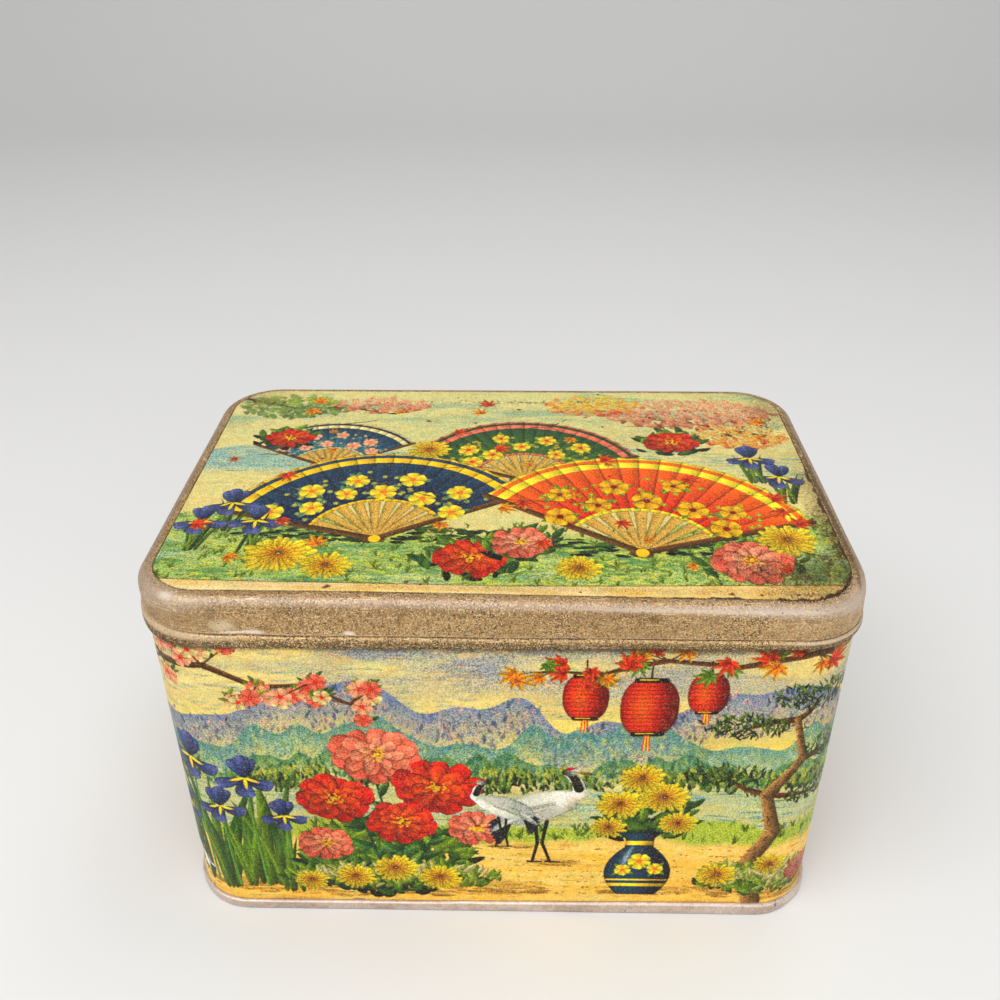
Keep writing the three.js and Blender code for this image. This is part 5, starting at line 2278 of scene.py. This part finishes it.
class BottomPan(Part):
    """The bottom: a rolled seam round the foot and a recessed panel."""

    DENTS = (Dent(338.6, 2.0, 4.6, 9.0, 0.35, 3.0), Dent(333.2, 3.0, 0.5, 9.0, 0.3),
             Dent(146.0, 1.0, 4.0, 5.0, 0.12),
             Dent(233.0, 4.0, 5.0, 2.5, 0.2), Dent(505.0, 3.0, 4.0, 5.0, 0.4),
             Dent(47.0, 3.5, 3.0, 4.0, 0.35))
    WAVES = (-30.0, 60.0, 0.06, 5)
    SAGS = (FOOT_SAG,)

    def build_seam(self) -> None:
        """Build the rolled seam."""
        out, high, hook = self.sizes.seam_out, self.sizes.seam_height, self.sizes.pan_recess + 0.3
        section = rounded([
            (-0.69, hook, 0.1), (-0.69, 0.0, 0.45), (-0.1, 0.0, 0.2), (out - 0.1, 0.02, 0.6),
            (out, high * 0.5, 1.2),
            (out - 0.06, high - 0.35, 0.5), (0.35, high, 0.3), (-0.04, high, 0.05), (-0.04, 0.42, 0.05),
            (-0.32, 0.42, 0.05), (-0.32, hook, 0.1)], 6)
        ring = self.carrier.build("bottom_seam", divided(section, 0.9), self.waves, self.finishes.seam)
        publish(ring, Body.TIN, "bottom_pan")

    def build_panel(self) -> None:
        """Build the recessed panel, with a shallow step pressed near its edge."""
        s = self.sizes
        x, y, inside = plate_grid(s.width - 0.8, s.depth - 0.8, s.corner - 0.4, 449, 321)
        step = 0.35 / (1 + np.exp(-(inside - 9.0) * 2.2))
        swell = 0.25 * np.sin(x / 37.0 + 0.4) * np.sin(y / 26.0 + 1.1) * held(inside / 30)
        top = s.pan_recess + s.sheet - 0.02 + step + swell
        places = [np.stack([x, y, top - thick], axis=2) for thick in (0.0, s.sheet - 0.02)]
        sheet = FineSheet(*places, np.zeros((*x.shape, 4)), 26000)
        publish(sheet.build("bottom_panel", self.finishes.inside, self.finishes.seam),
                Body.TIN, "bottom_pan")


class Lid(Part):
    """The slip-on lid: a plain band with a bead and a round shoulder, and the printed top plate."""

    DENTS = (Dent(176.5, 114.2, 7.0, 1.5, 0.65), Dent(170.0, 117.4, 8.0, 3.6, 0.3),
             Dent(204.5, 114.3, 2.2, 1.3, 0.32),
             Dent(141.0, 118.0, 5.0, 5.0, 0.35), Dent(350.0, 121.0, 6.0, 6.0, 0.3),
             Dent(284.0, 110.5, 6.0, 3.0, 0.22),
             Dent(391.0, 114.0, 7.0, 4.0, 0.5), Dent(540.0, 116.0, 12.0, 4.0, 0.4),
             Dent(95.0, 113.0, 9.0, 4.0, 0.45))
    WAVES = (92.0, 129.0, 0.1, 23)
    SAGS = (LID_SAG, GROOVE_SAG)
    KNOCKS = ((-61, -30, 6, 0.3), (48, 22, 9, 0.35), (70, -18, 5, 0.25), (-20, 38, 7, 0.3))

    def build_band(self) -> None:
        """Build the skirt, bead and shoulder."""
        s = self.sizes
        low, face, bead_top = s.skirt_bottom, s.skirt_out, s.skirt_bottom + s.bead_height
        centre, ledge = (s.shoulder_out, s.shoulder_foot), s.shoulder_out - s.ledge
        top, under = s.height - s.sheet, s.height - 2 * s.sheet
        corners = [
            (face - s.sheet, low + 0.25, 0.2), (face - s.sheet + 0.1, low, 0.1),
            *curve_points((face, low + s.bead_height / 2), s.bead_proud, s.bead_height / 2, -84, 76, 15),
            (face + 0.02, bead_top - 0.02, 0.15), (face - s.groove, bead_top + 0.42, 0.5),
            (face + 0.02, bead_top + 0.95, 0.3), (face, bead_top + 1.7, 0.4),
            *curve_points(centre, s.shoulder, s.shoulder, 0, 88, 18),
            (s.shoulder_out - 0.12, s.height - 0.13, 0.1), (s.shoulder_out - 0.2, top, 0.08),
            (ledge, top, 0.05), (ledge, under, 0.05),
            *curve_points(centre, s.shoulder - s.sheet, under - s.shoulder_foot, 90, 0, 14)]
        band = self.carrier.build("lid_skirt", divided(rounded(corners), 0.9), self.waves,
            self.finishes.patina)
        publish(band, Body.LID, "lid_band")

    def build_top(self, picture: Sheet) -> None:
        """Build the printed top plate from the picture on it."""
        s = self.sizes
        width, depth = s.plate
        columns, rows = len(picture.x), len(picture.y)
        x, y, inside = plate_grid(width, depth, s.corner - s.plate_in, columns, rows)
        swell = 0.16 * np.sin(x / 23.0 + 1.0) * np.sin(y / 17.0 + 0.3) + 0.1 * np.sin(x / 9.0 + y / 14.0)
        swell += 0.45 * np.exp(-((x - 12) / 70) ** 2 - (y / 42) ** 2)
        for px, py, size, deep in self.KNOCKS:
            swell -= deep * np.exp(-((x - px) ** 2 + (y - py) ** 2) / size ** 2)
        top = s.height - 0.02 - 0.14 * np.exp(-inside / 0.3) + swell * held(inside / 22) ** 1.5
        low = np.where(inside > s.ledge + 1.2, top - s.sheet, np.minimum(top - 0.2, s.height - s.sheet
            + 0.04))
        column, row = (x + width / 2) / picture.pitch, (y + depth / 2) / (picture.y[1] - picture.y[0])
        i, j = held(column.astype(int), 0, columns - 2), held(row.astype(int), 0, rows - 2)
        a, b = (column - i)[..., None], (row - j)[..., None]
        ink = np.concatenate([picture.ink, picture.bare[..., None]], axis=2)
        near, far = (ink[k, i] * (1 - a) + ink[k, i + 1] * a for k in (j, j + 1))
        ink = near * (1 - b) + far * b
        places = [np.stack([x, y, z], axis=2) for z in (top, low)]
        for face in places:
            face[..., 2] += self.waves.lift(face)
        middle = columns // 2
        for name, part in (("lid_print_left", np.s_[:, :middle + 1]),
                ("lid_print_right", np.s_[:, middle:])):
            sheet = FineSheet(*(p[part] for p in places), ink[part], 180000)
            publish(sheet.build(name, self.finishes.lid_print, self.finishes.inside),
                    Body.LID, "lid_top_plate")

    def build_grit(self, grit: GritLine) -> None:
        """Strew rust in the crease round the plate and in the line over the bead."""
        s = self.sizes
        crease = s.shoulder_out - 0.16
        for name, out, z, *form in (
                ("crease_grit", crease, s.height - 0.28, 0.16, (0.22, 0.22, 0.06), 0.13, 0.44, 3, 26.0),
                ("corner_grit", crease - 0.2, s.height - 0.16, 0.05, (0.9, 0.9, 0.08), 0.17, 0.86, 11,
                    24.0),
                ("bead_grit", s.skirt_out - 0.12, s.skirt_bottom + s.bead_height + 0.4, 0.3,
                 (0.05, 0.05, 0.12),
                 0.12, 0.5, 8)):
            publish(grit.build(name, out, z, self.waves, self.finishes.crust, *form),
                    Body.LID, "lid_band")


# The studio


@dataclass(frozen=True)
class Studio:
    """The camera, the floor and the lights.

    Attributes:
        lens: of the camera.
        place: of the camera.
        pitch, yaw, roll: of the camera, below the horizon, to its right and about its own line of sight.
    """

    lens: float = 36.94
    place: Triple = (4.72, -279.8, 288.0)
    pitch: float = 31.559
    yaw: float = -1.178
    roll: float = -0.2

    def build_camera(self) -> None:
        """Place the camera as the photograph was taken."""
        pitch, yaw, roll = (math.radians(a) for a in (self.pitch, self.yaw, self.roll))
        ahead = Vector((math.sin(yaw) * math.cos(pitch), math.cos(yaw) * math.cos(pitch), -math.sin(pitch)))
        right = Vector((math.cos(yaw), -math.sin(yaw), 0.0))
        up = right.cross(ahead)
        right, up = math.cos(roll) * right + math.sin(roll) * up, math.cos(roll) * up - math.sin(
            roll) * right
        data = bpy.data.cameras.new("camera")
        data.lens, data.sensor_width = self.lens, 36.0
        data.clip_start, data.clip_end = 0.01, 20.0
        camera = linked("camera", data)
        turned = Matrix((right, up, -ahead)).transposed().to_4x4()
        camera.matrix_world = Matrix.Translation(Vector(self.place) * MM) @ turned
        bpy.context.scene.camera = camera

    def build_floor(self) -> None:
        """Build the pale floor, curved up behind. Its sizes are in metres."""
        bend = [(1.1 + 0.6 * math.sin(t), 0.6 - 0.6 * math.cos(t)) for t in np.linspace(0.1, math.pi / 2,
            16)]
        profile = [(-2.5, 0.0), (1.1, 0.0), *bend, (1.7, 3.0)]
        places = np.array([(x, y, z) for y, z in profile for x in (-3.0, 3.0)]) / MM
        faces = np.array([(a + p, a + q, a + r) for a in range(0, 2 * len(profile) - 2, 2)
                          for p, q, r in ((0, 1, 3), (0, 3, 2))])
        g = Graph("pale_floor")
        g.set(Base_Color=(0.80, 0.79, 0.77), Roughness=0.9)
        new_piece("floor", places, faces, [g.material])

    def build_lights(self) -> None:
        """Hang large soft lamps, placed and sized in metres, and set a pale surround."""
        for name, place, aim, size, power in (
                ("key", (-0.55, -0.55, 1.15), (0, 0, 0.06), (1.0, 0.8), 8.0),
                ("top", (0.15, -0.10, 1.30), (0, 0, 0.10), (1.3, 0.5), 6.0),
                ("front", (0.5, -1.2, 0.55), (0, 0, 0.05), (1.0, 0.8), 5.0)):
            data = bpy.data.lights.new(name, "AREA")
            data.shape, (data.size, data.size_y), data.energy = "RECTANGLE", size, power
            lamp = linked(name, data)
            lamp.location = place
            lamp.rotation_euler = (Vector(aim) - Vector(place)).to_track_quat("-Z", "Y").to_euler()
        world = bpy.data.worlds.new("surround")
        world.use_nodes = True
        background = world.node_tree.nodes["Background"]
        background.inputs["Color"].default_value = (0.9, 0.92, 0.95, 1.0)
        background.inputs["Strength"].default_value = 0.45
        bpy.context.scene.world = world
        bpy.context.scene.view_settings.view_transform = "Standard"


def main() -> None:
    """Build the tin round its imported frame."""
    logging.basicConfig(level=logging.INFO, format="%(name)s: %(message)s")
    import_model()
    studio = Studio()
    studio.build_camera()
    studio.build_floor()
    studio.build_lights()
    outline = Outline(TinSizes())
    carrier, finishes = CarriedSection(outline, 1.0), Finishes()
    wall, pan, lid = (part(outline, carrier, finishes) for part in (Wall, BottomPan, Lid))
    wall.build_sheet()
    wall.build_seam()
    wall.build_prints(WallPicture(outline).paint())
    pan.build_seam()
    pan.build_panel()
    lid.build_band()
    lid.build_top(LidPicture(outline).paint())
    lid.build_grit(GritLine(outline))


if __name__ == "__main__":
    main()
